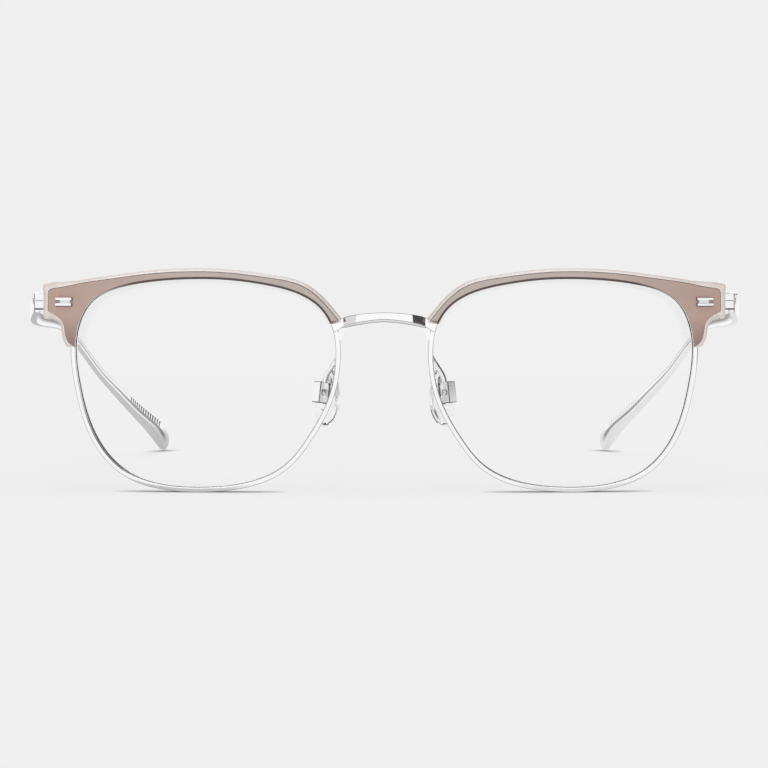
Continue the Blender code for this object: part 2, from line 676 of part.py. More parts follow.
class Temple:
    """The temple's path and sizes, as functions of the row number in TEMPLE_ROW_SHARES."""

    def __init__(self, end):
        self.front = end.temple_front
        self.outer = end.outer
        self.last = len(TEMPLE_ROW_SHARES) - 1
        foot = SPLIT_Z + TEMPLE_HEIGHT * TEMPLE_TOP_SHARE - TEMPLE_HEIGHT
        fall = foot - FLOOR
        # The tip's slope lifts its lowest edge a little, so the fall is drawn out to meet the floor.
        for _ in range(2):
            self.rows = self.path(foot, fall)
            self.curve = spline(self.rows)
            fall += min(point.z for point in self.shape()[0]) - FLOOR

    def path(self, foot, fall):
        rows = []
        for reach, inward, drop, height, thickness in TEMPLE_ROW_SHARES:
            tall, thick = height * TEMPLE_HEIGHT, thickness * TEMPLE_THICKNESS
            rows.append((
                self.outer - inward * TEMPLE_INWARD - thick / 2,
                self.front + reach * TEMPLE_REACH,
                foot - fall * drop + tall / 2,
                tall, thick,
            ))
        return rows

    def inner_at(self, depth):
        """X of the inner face at a depth near the hinge."""
        depths = [row[1] for row in self.rows]
        inners = [row[0] - row[4] / 2 for row in self.rows]
        return float(np.interp(depth, depths, inners))

    def row_at(self, depth):
        places = np.linspace(0, self.last, self.last * ROUND_SIDES + 1)
        return float(np.interp(depth, [self.curve(place)[1] for place in places], places))

    def places(self):
        """Row numbers of the sections, closer where the ribs stand: (place, in a notch)."""
        notches = []
        start = self.front + RIB_START_SHARE * TEMPLE_REACH
        for number in range(RIB_COUNT):
            begin = start + number * RIB_PITCH
            edge = RIB_PITCH * (1 - RIB_FLAT_SHARE)
            for step, deep in ((0, False), (RIB_DEPTH, True), (edge - RIB_DEPTH, True),
                               (edge, False)):
                notches.append((self.row_at(begin + step), deep))
        first, last = notches[0][0], notches[-1][0]
        plain = [(place, False)
                 for place in np.linspace(0, self.last, self.last * TEMPLE_STEPS + 1)
                 if not first - 0.05 < place < last + 0.05]
        return sorted(plain + notches)

    def section(self, place, notched):
        x, y, z, tall, thick = self.curve(place)
        step = 1 / 64
        ahead, behind = self.curve(place + step), self.curve(place - step)
        along = Vector((ahead[:3] - behind[:3])).normalized()
        side = along.cross(Vector((0, 0, 1))).normalized()
        up = side.cross(along)
        if place == 0:
            side, up = Vector((1, 0, 0)), Vector((0, 0, 1))
        half_tall, half_thick = tall * up.z / 2, thick / 2
        edge = min(TEMPLE_EDGE, half_tall / 2, half_thick / 2)
        cut = RIB_DEPTH if notched else 0.0
        return [
            Vector((x, y, z)) + side * across + up * rise
            for across, rise in (
                (half_thick, half_tall - edge), (half_thick - edge, half_tall),
                (edge + cut - half_thick, half_tall), (cut - half_thick, half_tall - edge),
                (cut - half_thick, 0), (-half_thick, -edge / 2), (-half_thick, edge - half_tall),
                (edge - half_thick, -half_tall), (half_thick - edge, -half_tall),
                (half_thick, edge - half_tall))
        ]

    def shape(self):
        return loft([self.section(place, notched) for place, notched in self.places()])


class PadFrame:
    """Directions of a nose pad: across its width, toward the nose, and up along it."""

    def __init__(self):
        turn = PAD_TURN_SHARE
        self.across = Vector((turn, math.sqrt(1 - turn * turn), 0))
        lean = Vector((-PAD_LEAN_SHARE, 0, 1))
        self.nose = lean.cross(self.across).normalized()
        self.up = self.across.cross(self.nose).normalized()
        self.at = Vector((PAD_SPREAD, PAD_SETBACK, -PAD_PIVOT_DROP))

    def point(self, across, nose, up):
        return self.at + self.across * across + self.nose * nose + self.up * up

    def block(self, across, nose, up):
        """A block between two values along each direction."""
        corners = ((across[0], nose[0]), (across[1], nose[0]), (across[1], nose[1]),
                   (across[0], nose[1]))
        return loft([[self.point(a, n, rise) for a, n in corners] for rise in up])


def box_sizes():
    """From the pivot: the slot's half width, the box's half width, its back and its front."""
    slot = LUG_WIDTH / 2 + BOX_PLAY
    return slot, slot + BOX_CHEEK, slot + BOX_WEB, PAD_SCREW_RADIUS + JOIN_GAP + BOX_CHEEK_WALL


def pad_box_shapes(frame):
    """A channel whose two cheeks hold the lug of the pad."""
    slot, outer, web, reach = box_sizes()
    tall = BOX_HEIGHT / 2
    body = frame.block((-outer, outer), (-web, reach), (-tall, tall))
    channel = frame.block((-slot, slot), (-slot, 2 * reach), (-BOX_HEIGHT, BOX_HEIGHT))
    return body, [channel, pad_bore(frame)]


def pad_bore(frame):
    radius = PAD_SCREW_RADIUS + JOIN_GAP
    reach = BOX_HEIGHT
    return rod(frame.point(-reach, 0, 0), frame.point(reach, 0, 0),
               ((0, radius), (2 * reach, radius)))


def pad_screw_shape(frame):
    """The screw that the pad rocks on, its head on the front cheek."""
    outer = box_sizes()[1]
    head = PAD_SCREW_HEAD_HEIGHT
    start = frame.point(-outer - JOIN_GAP - head, 0, 0)
    length = 2 * outer + JOIN_GAP
    return rod(start, frame.point(outer, 0, 0),
               ((0, PAD_SCREW_HEAD_RADIUS), (head, PAD_SCREW_HEAD_RADIUS),
                (head, PAD_SCREW_RADIUS), (head + length, PAD_SCREW_RADIUS)))


def insert_seat():
    """How far from the pivot the insert's plate starts, clear of the rocking cheeks."""
    return box_sizes()[3] + BOX_HEIGHT / 2 * math.sin(PAD_ROCK) + BOX_PLAY


def pad_insert_shapes(frame):
    """A lug between the cheeks, on a plate against the pad."""
    half, seat = LUG_WIDTH / 2, insert_seat()
    lug = frame.block((-half, half), (-half, seat + INSERT_THICKNESS / 2),
                      (-LUG_HEIGHT / 2, LUG_HEIGHT / 2))
    rings = []
    for nose in (seat, seat + INSERT_THICKNESS):
        rings.append([frame.point(x * INSERT_WIDTH / 2, nose, y * INSERT_HEIGHT / 2)
                      for x, y in circle(1)])
    return lug, [loft(rings)], [pad_bore(frame)]


def nose_pad_shape(frame):
    """A soft cushion with rounded edges, a little wider at its foot."""
    start = insert_seat() + INSERT_THICKNESS + JOIN_GAP
    rings = []
    for depth_share, size_share in ((0, 0.78), (0.2, 0.95), (0.5, 1.0), (0.8, 0.93), (1, 0.72)):
        ring = []
        for x, y in circle(1, PAD_SIDES):
            wide = PAD_WIDTH * (1 - PAD_TAPER_SHARE * y) * size_share
            ring.append(frame.point(
                x * wide / 2 + PAD_SIDESTEP, start + depth_share * PAD_THICKNESS,
                y * PAD_HEIGHT / 2 * size_share - PAD_DROP_BELOW_PIVOT))
        rings.append(ring)
    return loft(rings)


def pad_arm_shape(frame):
    """The guard arm: a wire from the back of the eye wire to the front cheek of the box."""
    slot, outer = box_sizes()[:2]
    foot = frame.point(-(slot + outer) / 2, 0, BOX_HEIGHT / 2 + JOIN_GAP)
    knot = 15.9
    root = rim_point(knot, WIRE_WIDTH / 2, WIRE_DEPTH / 2 + JOIN_GAP)
    back = Vector((0, ARM_LOOP, 0))
    route = spline([root, root + back, (root + back + foot) / 2 + back / 2 + frame.up * ARM_RADIUS,
                    foot + frame.up * ARM_CLIMB / 2, foot])
    rings = []
    across = Vector((1, 0, 0))
    for place in np.linspace(0, 4, ARM_STEPS):
        step = 1 / 64
        along = Vector(route(place + step) - route(place - step)).normalized()
        if place == 0:
            along = Vector((0, 1, 0))
        if place == 4:
            along = -frame.up
        across = (across - along * across.dot(along)).normalized()
        other = along.cross(across)
        middle = Vector(route(place))
        rings.append([middle + across * x + other * y for x, y in circle(ARM_RADIUS, 10)])
    return loft(rings)


PAD_ROCK = math.radians(8)
SIDES = ((1, "left"), (-1, "right"))
FLOOR = min(point.z for point in eye_wire_shape()[0])
BROW = BrowOutline()
END = EndPiece(BROW)
TEMPLE = Temple(END)
DEPTH_CENTRE = (END.temple_front + TEMPLE_REACH + min(
    point.y for point in brow_face_shape(BROW)[0])) / 2


def main():
    for old in list(bpy.data.objects):
        bpy.data.objects.remove(old)

    silver = material("polished_silver_metal", (0.83, 0.83, 0.84), 0.14, metallic=1.0)
    screw_steel = material("screw_steel", (0.70, 0.70, 0.71), 0.25, metallic=1.0)
    clear_lens = material("clear_demo_lens", (0.97, 0.98, 0.98), 0.02, alpha=0.2, transmission=1.0)
    crystal = material("pale_pink_crystal_acetate", (0.84, 0.72, 0.68), 0.18, transmission=0.6)
    taupe = material("taupe_acetate", (0.456, 0.328, 0.275), 0.25)
    silicone = material("clear_silicone", (0.90, 0.90, 0.89), 0.35, alpha=0.6, transmission=0.8)

    add_part("bridge", bridge_shape(), silver)
    temple_pivot = add_pivot("temple_pivot", END.axis)
    frame = PadFrame()
    pad_pivot = add_pivot("pad_pivot", frame.at)
    rivet, rivet_joins, rivet_hole = rivet_shapes()
    closing_screw, closing_hole = closing_screw_shapes(END)
    envelope = wire_envelope(JOIN_GAP)
    hinge_front, hinge_front_cuts = hinge_front_shape(END)
    knuckle, knuckle_joins, knuckle_cuts = hinge_temple_shape(END, TEMPLE)
    box, box_cuts = pad_box_shapes(frame)
    lug, lug_joins, lug_cuts = pad_insert_shapes(frame)

    for side, label in SIDES:
        add_part(f"eye_wire_{label}", eye_wire_shape(), silver, side)
        add_part(f"lens_{label}", lens_shape(), clear_lens, side)
        add_part(f"brow_base_{label}", brow_base_shape(BROW), crystal, side, cuts=[rivet_hole])
        add_part(f"brow_face_{label}", brow_face_shape(BROW), taupe, side, cuts=[rivet_hole])
        add_part(f"brow_rivet_{label}", rivet, silver, side, joins=rivet_joins)
        add_part(f"end_block_upper_{label}", END.block(SPLIT_Z + SPLIT_GAP / 2, END.top), silver, side,
                 cuts=[envelope, closing_hole])
        add_part(f"end_block_lower_{label}", END.block(END.foot, SPLIT_Z - SPLIT_GAP / 2), silver, side,
                 cuts=[envelope, closing_hole])
        add_part(f"closing_screw_{label}", closing_screw, screw_steel, side)
        add_part(f"hinge_front_{label}", hinge_front, silver, side, cuts=hinge_front_cuts)
        add_part(f"hinge_screw_{label}", hinge_screw_shape(END), screw_steel, side)
        add_part(f"pad_arm_{label}", pad_arm_shape(frame), silver, side)
        add_part(f"pad_box_{label}", box, silver, side, cuts=box_cuts)
        add_part(f"pad_screw_{label}", pad_screw_shape(frame), screw_steel, side)
        add_part(f"nose_pad_{label}", nose_pad_shape(frame), silicone, side, pad_pivot)
        add_part(f"pad_insert_{label}", lug, silver, side, pad_pivot, cuts=lug_cuts,
                 joins=lug_joins)
        add_part(f"temple_{label}", TEMPLE.shape(), silver, side, temple_pivot)
        add_part(f"hinge_temple_{label}", knuckle, silver, side, temple_pivot, cuts=knuckle_cuts,
                 joins=knuckle_joins)


main()
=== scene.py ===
"""Browline eyeglass frame, dressed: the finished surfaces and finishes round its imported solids.

+X is the wearer's left, the front faces -Y, and the floor is Z = 0. Every side piece is worked
out once, for +X, and mirrored for -X. Until it is placed, a point's Y and Z are its depth behind
the lenses and its height over the lens centre.
"""

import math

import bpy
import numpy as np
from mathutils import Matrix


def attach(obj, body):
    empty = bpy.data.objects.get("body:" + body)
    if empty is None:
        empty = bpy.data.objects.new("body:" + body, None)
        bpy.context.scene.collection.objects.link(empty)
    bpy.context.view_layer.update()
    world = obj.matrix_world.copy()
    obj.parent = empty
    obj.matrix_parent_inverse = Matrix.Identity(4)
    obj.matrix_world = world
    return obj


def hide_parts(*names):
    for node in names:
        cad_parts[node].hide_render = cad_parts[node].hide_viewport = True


bl_info = {
    "name": "Browline Eyeglass Frame",
    "version": (1, 0, 0),
    "blender": (4, 5, 0),
    "location": "3D View > Sidebar > Eyeglass frame",
    "description": "Builds the finished pieces of a metal and acetate eyeglass frame",
    "category": "Add Mesh",
}

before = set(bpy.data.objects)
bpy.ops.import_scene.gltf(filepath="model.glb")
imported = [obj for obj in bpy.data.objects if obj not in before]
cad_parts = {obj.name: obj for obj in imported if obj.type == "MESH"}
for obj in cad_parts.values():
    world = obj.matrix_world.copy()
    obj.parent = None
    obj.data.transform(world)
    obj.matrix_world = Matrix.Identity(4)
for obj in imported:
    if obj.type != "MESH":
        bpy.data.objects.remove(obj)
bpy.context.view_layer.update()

# Where the lens centre's height and the lenses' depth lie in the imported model
DEPTH_CENTRE = 0.0699679
LENS_RISE = 0.0224224
SIDES = ((1, "left"), (-1, "right"))

# Lenses and the curved surface that they share
LENS_WIDTH = 0.0538
LENS_HEIGHT = 0.0431
BRIDGE_WIDTH = 0.0200
LENS_THICKNESS = 0.0014
LENS_BEVEL_WIDTH = 0.0007
LENS_BEVEL_HEIGHT = 0.00022
LENS_EDGE_GAP = 0.00001
LENS_RING_SHARES = (0.1, 0.25, 0.4, 0.55, 0.7, 0.85, 0.95, 1.0)
FACE_CURVE_RADIUS = 0.130
WRAP_SLOPE_SHARE = 0.07
JOIN_GAP = 0.00015

# Eye wires
WIRE_WIDTH = 0.00085
WIRE_DEPTH = 0.0022
GROOVE_DEPTH = 0.00045
GROOVE_WIDTH = 0.0012
GROOVE_FLOOR_SHARE = 0.35
GROOVE_MOUTH_EDGE = 0.00003
GROOVE_FLOOR_EDGE = 0.00005
SPLIT_GAP = 0.0003
SPLIT_KNOT = 3

# Brow bars
BROW_FRONT_WALL = 0.00075
BROW_FACE_THICKNESS = 0.00095
BROW_MOUTH_ROWS = (6.5, 7.8)
BROW_LIPS = (-0.00012, 0.00001)
BROW_CHAMFERS = (0.00046, 0.00008)
BROW_GLUE_LINE = 0.00001
BROW_TOP_BEVEL = 0.00065
BROW_END_BEVEL = 0.00125
BROW_LOWER_BEVEL = 0.00095
BROW_TOP_ROWS = 9
BROW_CORNER_ROWS = (11, 16)
BROW_CORNER_BEVEL = 0.00182
BROW_END_ROWS = 17
CRYSTAL_SMALL_EDGES = (0.00003, 0.00006, 0.00005, 0.00008)
CRYSTAL_SEAM_EDGE = 0.00004
TAUPE_SMALL_EDGES = (0.00002, 0.00004, 0.00005)
TAUPE_SEAM_EDGE = 0.00002

# Rivets
RIVET_LENGTH = 0.0036
RIVET_BAR_HEIGHT = 0.00056
RIVET_BAR_PITCH = 0.00117
RIVET_PROUD = 0.00042
RIVET_WEB = 0.00012
# The plate under each bar is a dark sheet of painted shadow round it
RIVET_SHADOW_PLATE = 0.00004
RIVET_SHADOW_MARGIN = 0.00009
RIVET_NOTCH = 0.00042
RIVET_OUTWARD_SHARE = 1.089
RIVET_UP_SHARE = 0.778
RIVET_SUNK = -0.00003
RIVET_CORNER = 0.0001
RIVET_EDGE = 0.00007
# The web's lighter and darker painted shade meet at this share of the reach
RIVET_SHADE_SHARE = 0.45

# Bridge
BRIDGE_THICKNESS = 0.00147
BRIDGE_END_THICKNESS = 0.00057
BRIDGE_FORWARD = 0.0005
BRIDGE_CHAMFER = 0.00055
BRIDGE_LEAN = 0.00011
BRIDGE_LAP_SHARE = 0.93
BRIDGE_FALL_SHARES = (0.56, 0.845)
BRIDGE_FALL_POWER = 1.08
BRIDGE_SMALL_EDGE = 0.0001
BRIDGE_FOOT_EDGE = 0.00014
# Fillet under each end of the bridge, across and up: its curve's start, middle and end
FILLET_CURVE = ((0.00878, 0.0091), (0.00862, 0.01135), (0.0072, 0.01160))
FILLET_CORNERS = ((0.0072, 0.0121), (0.0093, 0.0118), (0.0093, 0.0091))
FILLET_FLARE = 0.00016
FILLET_POINTS = 9

# Screw heads: how far the dome falls to its rim and the slot's floor, as shares of the height
HEAD_FALL_SHARE = 0.28
SLOT_FLOOR_SHARE = 0.42

# End pieces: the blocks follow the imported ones, but for a front arris further out and a lower
# foot, and the screws go where those have their holes
CLOSING_PLACE = (0.0644487, 0.0075845)
CLOSING_FOOT = 0.01544605
CLOSING_TOP = 0.01854605
CLOSING_SCREW_RADIUS = 0.0005
CLOSING_HEAD_RADIUS = 0.00085
CLOSING_HEAD_HEIGHT = 0.0005
END_SPLIT = 0.01704605
# Plan of the blocks, across and back, anticlockwise from the front of the inner end
END_PLAN = (
    (0.0600, 0.00536), (0.064043, 0.006371), (0.0731487, 0.009200), (0.0738487, 0.012959),
    (0.0711487, 0.012959), (0.0711487, 0.010747), (0.063143, 0.008324), (0.0590, 0.00733),
)
# Upper and lower block: foot, top, then the front and back of the inner end at each
END_BLOCKS = (
    (0.01709, 0.01854605, (((0.06110, 0.005720), (0.06035, 0.007650)),
                           ((0.05960, 0.005320), (0.05870, 0.007260)))),
    (0.01508, 0.01700, (((0.06235, 0.005960), (0.06170, 0.007980)),
                           ((0.06115, 0.005740), (0.06040, 0.007670)))),
)
# Radii of the plan's corners, and how far the foot's step spreads to each side
END_PLAN_EDGES = (0.00005, 0.0002, 0.0002, 0.00015, 0.0003, 0.0003, 0.0002, 0.00005)
CLOSING_STEP = 0.00002
HINGE_AXIS = (0.0692487, 0.0135591, 0.016996)
HINGE_HEIGHT = 0.0029
HINGE_SCREW_RADIUS = 0.0006
HINGE_HEAD_RADIUS = 0.00115
HINGE_HEAD_HEIGHT = 0.0005

# Temples
TEMPLE_FRONT = 0.0131591
TEMPLE_OUTER = 0.0738487
TEMPLE_TOP = 0.0122461
TEMPLE_FALL = 0.0352288
TEMPLE_REACH = 0.1285
TEMPLE_INWARD = 0.0175
TEMPLE_HEIGHT = 0.0064
TEMPLE_THICKNESS = 0.0029
TEMPLE_SMALL_EDGE = 0.00004
# Corners of the inner face from its top down and of the outer face from its foot up, as shares
# of half the height, and which of the inner ones a groove cuts back
TEMPLE_INNER_HEIGHTS = (1, 0.62, 0.3, 0.05, -0.05, -0.35, -0.68, -1)
TEMPLE_OUTER_HEIGHTS = (-1, -0.5, 0, 0.5, 1)
TEMPLE_GROOVED = (1, 1, 1, 1, 0, 0, 0, 0)
TEMPLE_LONG_EDGES = (0, 7, 8, 12)
# Inner corners that carry a soft line of painted reflection
TEMPLE_PAINTED_LINE_CORNERS = (4, 5)
# Each ring past the tip: its size, and how far on it stands, as a share of half the thickness
TEMPLE_END_RINGS = ((0.9, 0.18), (0.68, 0.34), (0.35, 0.44))
RIB_PITCH = 0.00141
RIB_COUNT = 14
RIB_START_SHARE = 0.776
RIB_CLEAR_ROWS = 0.02

# Nose pads and what holds them
PAD_HEIGHT = 0.0118
PAD_WIDTH = 0.0067
PAD_THICKNESS = 0.0016
PAD_SIDESTEP = 0.0004
PAD_SPREAD = 0.0133
PAD_SETBACK = 0.0056
PAD_PIVOT_DROP = 0.0020
PAD_DROP_BELOW_PIVOT = 0.0008
PAD_TURN_SHARE = 0.68
PAD_LEAN_SHARE = 0.20
PAD_TAPER_SHARE = 0.22
PAD_ROCK = math.radians(8)
INSERT_HEIGHT = 0.0078
INSERT_WIDTH = 0.0036
INSERT_THICKNESS = 0.0004
# Each ring of the insert: its size and its depth, as shares
INSERT_RINGS = ((0.6, 0), (0.94, 0), (1.0, 0.2), (1.0, 0.8), (0.94, 1), (0.6, 1))
LUG_HEIGHT = 0.0032
LUG_WIDTH = 0.0010
BOX_HEIGHT = 0.0044
BOX_CHEEK = 0.0005
BOX_WEB = 0.0005
BOX_CHEEK_WALL = 0.00035
BOX_PLAY = 0.0002
PAD_SCREW_RADIUS = 0.00038
PAD_SCREW_HEAD_RADIUS = 0.00068
PAD_SCREW_HEAD_HEIGHT = 0.00035
PAD_SCREW_POINT = 0.00012
PAD_POINT_SHARE = 0.7
PAD_SLOT_SHARE = 0.6
BOX_SLOT_EDGE = 0.00008
ARM_RADIUS = 0.00055
ARM_LOOP = 0.0017
ARM_CLIMB = 0.0012
ARM_KNOT = 15.9

# Knots of the outlines, as shares of half the lens width and half the lens height
LENS_OUTLINE_SHARES = (
    (0.05, 1.0), (0.41, 0.974), (0.678, 0.91), (0.868, 0.791), (0.961, 0.612), (1.0, 0.342),
    (0.971, -0.002), (0.878, -0.427), (0.759, -0.679), (0.607, -0.849), (0.379, -0.958),
    (0.0, -0.993), (-0.378, -0.926), (-0.607, -0.781), (-0.788, -0.51), (-0.936, -0.166),
    (-1.0, 0.302), (-0.968, 0.551), (-0.885, 0.719), (-0.725, 0.853), (-0.478, 0.94),
    (-0.164, 0.992),
)
# Each row: knot of the lens outline below, taupe edge outward and up, share of the flange depth
BROW_ROW_SHARES = (
    (-4.80, -1.026, 0.599, 1.0), (-4.0, -0.935, 0.738, 1.0), (-3.0, -0.762, 0.922, 1.0),
    (-2.0, -0.494, 1.009, 1.0), (-1.0, -0.167, 1.059, 1.0), (0.0, 0.052, 1.069, 1.0),
    (1.0, 0.42, 1.048, 1.0), (2.0, 0.714, 1.002, 0.7), (3.0, 0.985, 0.952, 0.2),
    (3.62, 1.150, 0.914, 0.2), (3.80, 1.198, 0.902, 0.2), (3.84, 1.211, 0.890, 0.2),
    (3.88, 1.217, 0.868, 0.2), (3.96, 1.218, 0.830, 0.2), (4.12, 1.218, 0.730, 0.2),
    (4.18, 1.217, 0.700, 0.2), (4.23, 1.209, 0.682, 0.2), (4.28, 1.195, 0.674, 0.2),
    (4.40, 1.152, 0.645, 0.2), (4.58, 1.100, 0.585, 0.2), (4.78, 1.080, 0.484, 0.2),
    (4.93, 1.068, 0.424, 0.2), (4.98, 1.052, 0.387, 0.2),
)
BROW_BASE_NASAL = 0.12
BROW_BASE_TIP = 0.45
# Each row: outward share of half the bridge width, top and foot as shares of half the lens
# height, how far the end leans with the rim, and the share of the chamfer
BRIDGE_ROW_SHARES = (
    (0.0, 0.679, 0.586, 0.0, 1.05), (0.25, 0.674, 0.577, 0.0, 1.0),
    (0.50, 0.663, 0.560, 0.0, 1.0), (0.70, 0.647, 0.542, 0.0, 0.95),
    (0.77, 0.640, 0.534, 0.0, 0.85), (0.83, 0.630, 0.531, 0.0, 0.5),
    (0.89, 0.616, 0.527, 0.01, 0.2), (0.94, 0.598, 0.516, 0.02, 0.15),
    (1.06, 0.582, 0.488, 0.04, 0.15),
)
# Each row: shares of the temple's reach, inward drift, drop, height, thickness, and of the
# thickness that its top edge leans in over its foot
TEMPLE_ROW_SHARES = (
    (0.0, 0.0, -0.061, 0.664, 0.45, 0.0), (0.013, -0.040, -0.033, 0.812, 0.46, 0.0),
    (0.035, -0.072, -0.007, 0.897, 0.47, 0.0), (0.088, -0.055, 0.024, 0.812, 0.45, 0.0),
    (0.135, 0.009, 0.034, 0.71, 0.43, 0.0), (0.228, 0.105, 0.066, 0.42, 0.41, 0.0),
    (0.384, 0.197, 0.193, 0.28, 0.41, 0.0), (0.563, 0.294, 0.385, 0.31, 0.48, 0.0),
    (0.726, 0.418, 0.555, 0.39, 0.62, 0.0), (0.843, 0.590, 0.721, 0.48, 0.80, 0.0),
    (0.929, 0.752, 0.859, 0.58, 1.0, 0.10), (0.975, 0.870, 0.958, 0.68, 0.62, 0.36),
    (0.993, 0.906, 0.993, 0.58, 0.42, 0.32), (1.0, 0.917, 0.993, 0.36, 0.32, 0.24),
)
# A rib's groove: share of the pitch along the temple, share of the groove's depth
RIB_PROFILE_SHARES = (
    (0.0, 0.0), (0.04, 0.3), (0.08, 0.85), (0.12, 1.0), (0.26, 1.0), (0.31, 0.85), (0.42, 0.15),
    (0.47, 0.0), (0.72, 0.0),
)
# A pad's rings: share of its size, share of its thickness
PAD_PROFILE_SHARES = (
    (0.30, -0.02), (0.60, -0.01), (0.76, 0.01), (0.86, 0.06), (0.94, 0.16), (0.985, 0.32),
    (1.0, 0.5), (0.985, 0.66), (0.94, 0.80), (0.86, 0.92), (0.74, 1.0), (0.56, 1.05),
    (0.30, 1.08),
)

# Stage: a lens and sensor in millimetres, the eye's place, and its tilt from straight down
CAMERA_LENS = 118.7
CAMERA_SENSOR = 36.0
CAMERA_PLACE = (-0.00008, -0.58997, 0.0408)
CAMERA_TILT = math.radians(90 - 2.035)
FLOOR_REACH = 40.0
TOP_LIGHT_SHARE = 0.42
TOP_LIGHT_SPREAD = math.radians(60)

# How finely the surfaces are drawn: steps between two knots or rows, or points round
WIRE_STEPS = 14
LENS_STEPS = 6
BROW_STEPS = 14
BRIDGE_STEPS = 14
TEMPLE_STEPS = 14
PAD_SIDES = 64
ROUND_SIDES = 32
ARM_SIDES = 16
ARM_STEPS = 56
CORNER_STEPS = 5
TAUPE_CORNER_STEPS = 6
TEMPLE_CORNER_STEPS = 4
FILLET_CORNER_STEPS = 2
CHORD_POINTS = 13
HEAD_COLUMNS = 10
END_EASE = 0.00008
SMOOTH_ANGLE = math.radians(40)
TANGENT_STEP = 1 / 64
HALF_WIDTH = LENS_WIDTH / 2
HALF_HEIGHT = LENS_HEIGHT / 2
LENS_X = HALF_WIDTH + BRIDGE_WIDTH / 2
WALL_BACK = -WIRE_DEPTH / 2 - JOIN_GAP
LAMINATE = WALL_BACK - BROW_FRONT_WALL
FACE_FRONT = LAMINATE - JOIN_GAP - BROW_FACE_THICKNESS


def srgb(code):
    """A hex colour as linear red, green, blue and alpha."""
    shares = np.array([int(code[i:i + 2], 16) for i in (0, 2, 4)]) / 255
    linear = np.where(shares <= 0.04045, shares / 12.92, ((shares + 0.055) / 1.055) ** 2.4)
    return (*linear.tolist(), 1.0)


def length(name, description, default):
    """A size in metres, for the panel."""
    return bpy.props.FloatProperty(name=name, description=description, default=default,
                                   min=0.0, precision=5, subtype="DISTANCE", unit="LENGTH")


def colour(name, description, code):
    """A colour from its hex value, for the panel."""
    return bpy.props.FloatVectorProperty(name=name, description=description, size=4, min=0.0,
                                         max=1.0, subtype="COLOR", default=srgb(code))


class EyeglassSizes(bpy.types.PropertyGroup):
    """Small sizes of the finished surfaces."""

    wire_edge: length("Wire edge", "Radius of the eye wires' outer edges", 0.00012)
    wire_lip: length("Wire lip", "Radius of the eye wires' edges beside the lens", 0.00010)
    brow_edge: length("Brow edge", "Radius of the taupe layer's front edge", 0.00022)
    crystal_edge: length("Crystal edge", "Radius of the clear layer's outer edges", 0.00024)
    block_edge: length("Block edge", "Radius of the closing blocks' edges", 0.00009)
    bridge_edge: length("Bridge edge", "Radius of the bridge's upper front edge", 0.00016)
    box_edge: length("Pad box edge", "Radius of the pad boxes' edges", 0.00022)
    temple_edge: length("Temple edge", "Radius of the temples' long edges", 0.00034)
    temple_crown: length("Temple crown", "How far the temples' inner faces swell", 0.00012)
    rib_depth: length("Rib depth", "Depth of the grooves near the temple tips", 0.00028)
    slot_width: length("Screw slot", "Width of the slots in the screw heads", 0.00032)


class EyeglassColours(bpy.types.PropertyGroup):
    """Colours of the finishes."""

    silver: colour("Silver plating", "Polished plating of all the metal parts", "F4F4F4")
    # Painted shade: the dark that the metal pieces' marks lay where shadow falls and where the
    # plating mirrors dark surroundings
    oxide: colour("Oxide", "Dark metal left in the corners", "3A3736")
    steel: colour("Screw steel", "Slotted screws", "D6D6D7")
    lens: colour("Demo lens", "Clear plano lenses", "FFFFFF")
    taupe_centre: colour("Taupe, middle", "Laminated front, over the lens", "B8ABA5")
    taupe_end: colour("Taupe, end", "Laminated front, at the wide end", "B6998D")
    taupe_tip: colour("Taupe, tip", "Laminated front, at its lower tip", "8C726E")
    # The two wall colours are partly the acetate's own deeper edge tone and partly painted shade
    # and reflection
    taupe_wall: colour("Taupe, cut wall", "The layer's polished cut edge", "6E5A55")
    lens_wall: colour("Brow wall at the lens", "Inner edge, over the lens", "4A3937")
    crystal: colour("Crystal", "Pale pink clear acetate behind the taupe", "FFF8F5")
    crystal_deep: colour("Crystal, deep", "Where the clear layer is seen through its edge",
                         "DDD0CB")
    silicone: colour("Silicone", "Clear nose pads", "FDFDFD")
    backdrop: colour("Backdrop", "Floor and background", "EFEFEF")


def spline(knots, closed=False):
    """A smooth curve through the knots, as a function of the knot number and what lies between.

    It is the cubic spline whose parameter runs at chord length: the slopes solve one linear
    system, and a place between two knots is their Hermite mix.
    """
    knots = np.array(knots, float)
    count = len(knots)
    index = np.arange(count)
    chord = np.linalg.norm(np.roll(knots, -1, 0) - knots, axis=1)
    before = np.roll(chord, 1)
    ahead = (np.roll(knots, -1, 0) - knots) / chord[:, None]
    matrix = np.zeros((count, count))
    matrix[index, index - 1] = chord
    matrix[index, index] = 2 * (before + chord)
    matrix[index, (index + 1) % count] = before
    right = 3 * (before[:, None] * ahead + chord[:, None] * np.roll(ahead, 1, 0))
    if not closed:
        matrix[0], matrix[-1] = 0, 0
        matrix[0, :2], matrix[-1, -2:] = (2, 1), (1, 2)
        right[0], right[-1] = 3 * ahead[0], 3 * ahead[-2]
    slopes = np.linalg.solve(matrix, right)

    def curve(place):
        """The points at these places along the curve."""
        place = np.asarray(place, float)
        first = np.floor(place).astype(int)
        if not closed:
            first = np.clip(first, 0, count - 2)
        w = (place - first)[..., None]
        i, j = first % count, (first + 1) % count
        rise = slopes[i] * (w**3 - 2 * w**2 + w) + slopes[j] * (w**3 - w**2)
        return (knots[i] * (2 * w**3 - 3 * w**2 + 1) + knots[j] * (3 * w**2 - 2 * w**3)
                + rise * chord[i][..., None])

    return curve


def unit(vectors):
    """Each vector divided by its length."""
    size = np.linalg.norm(vectors, axis=-1, keepdims=True)
    return vectors / np.maximum(size, 1e-12)


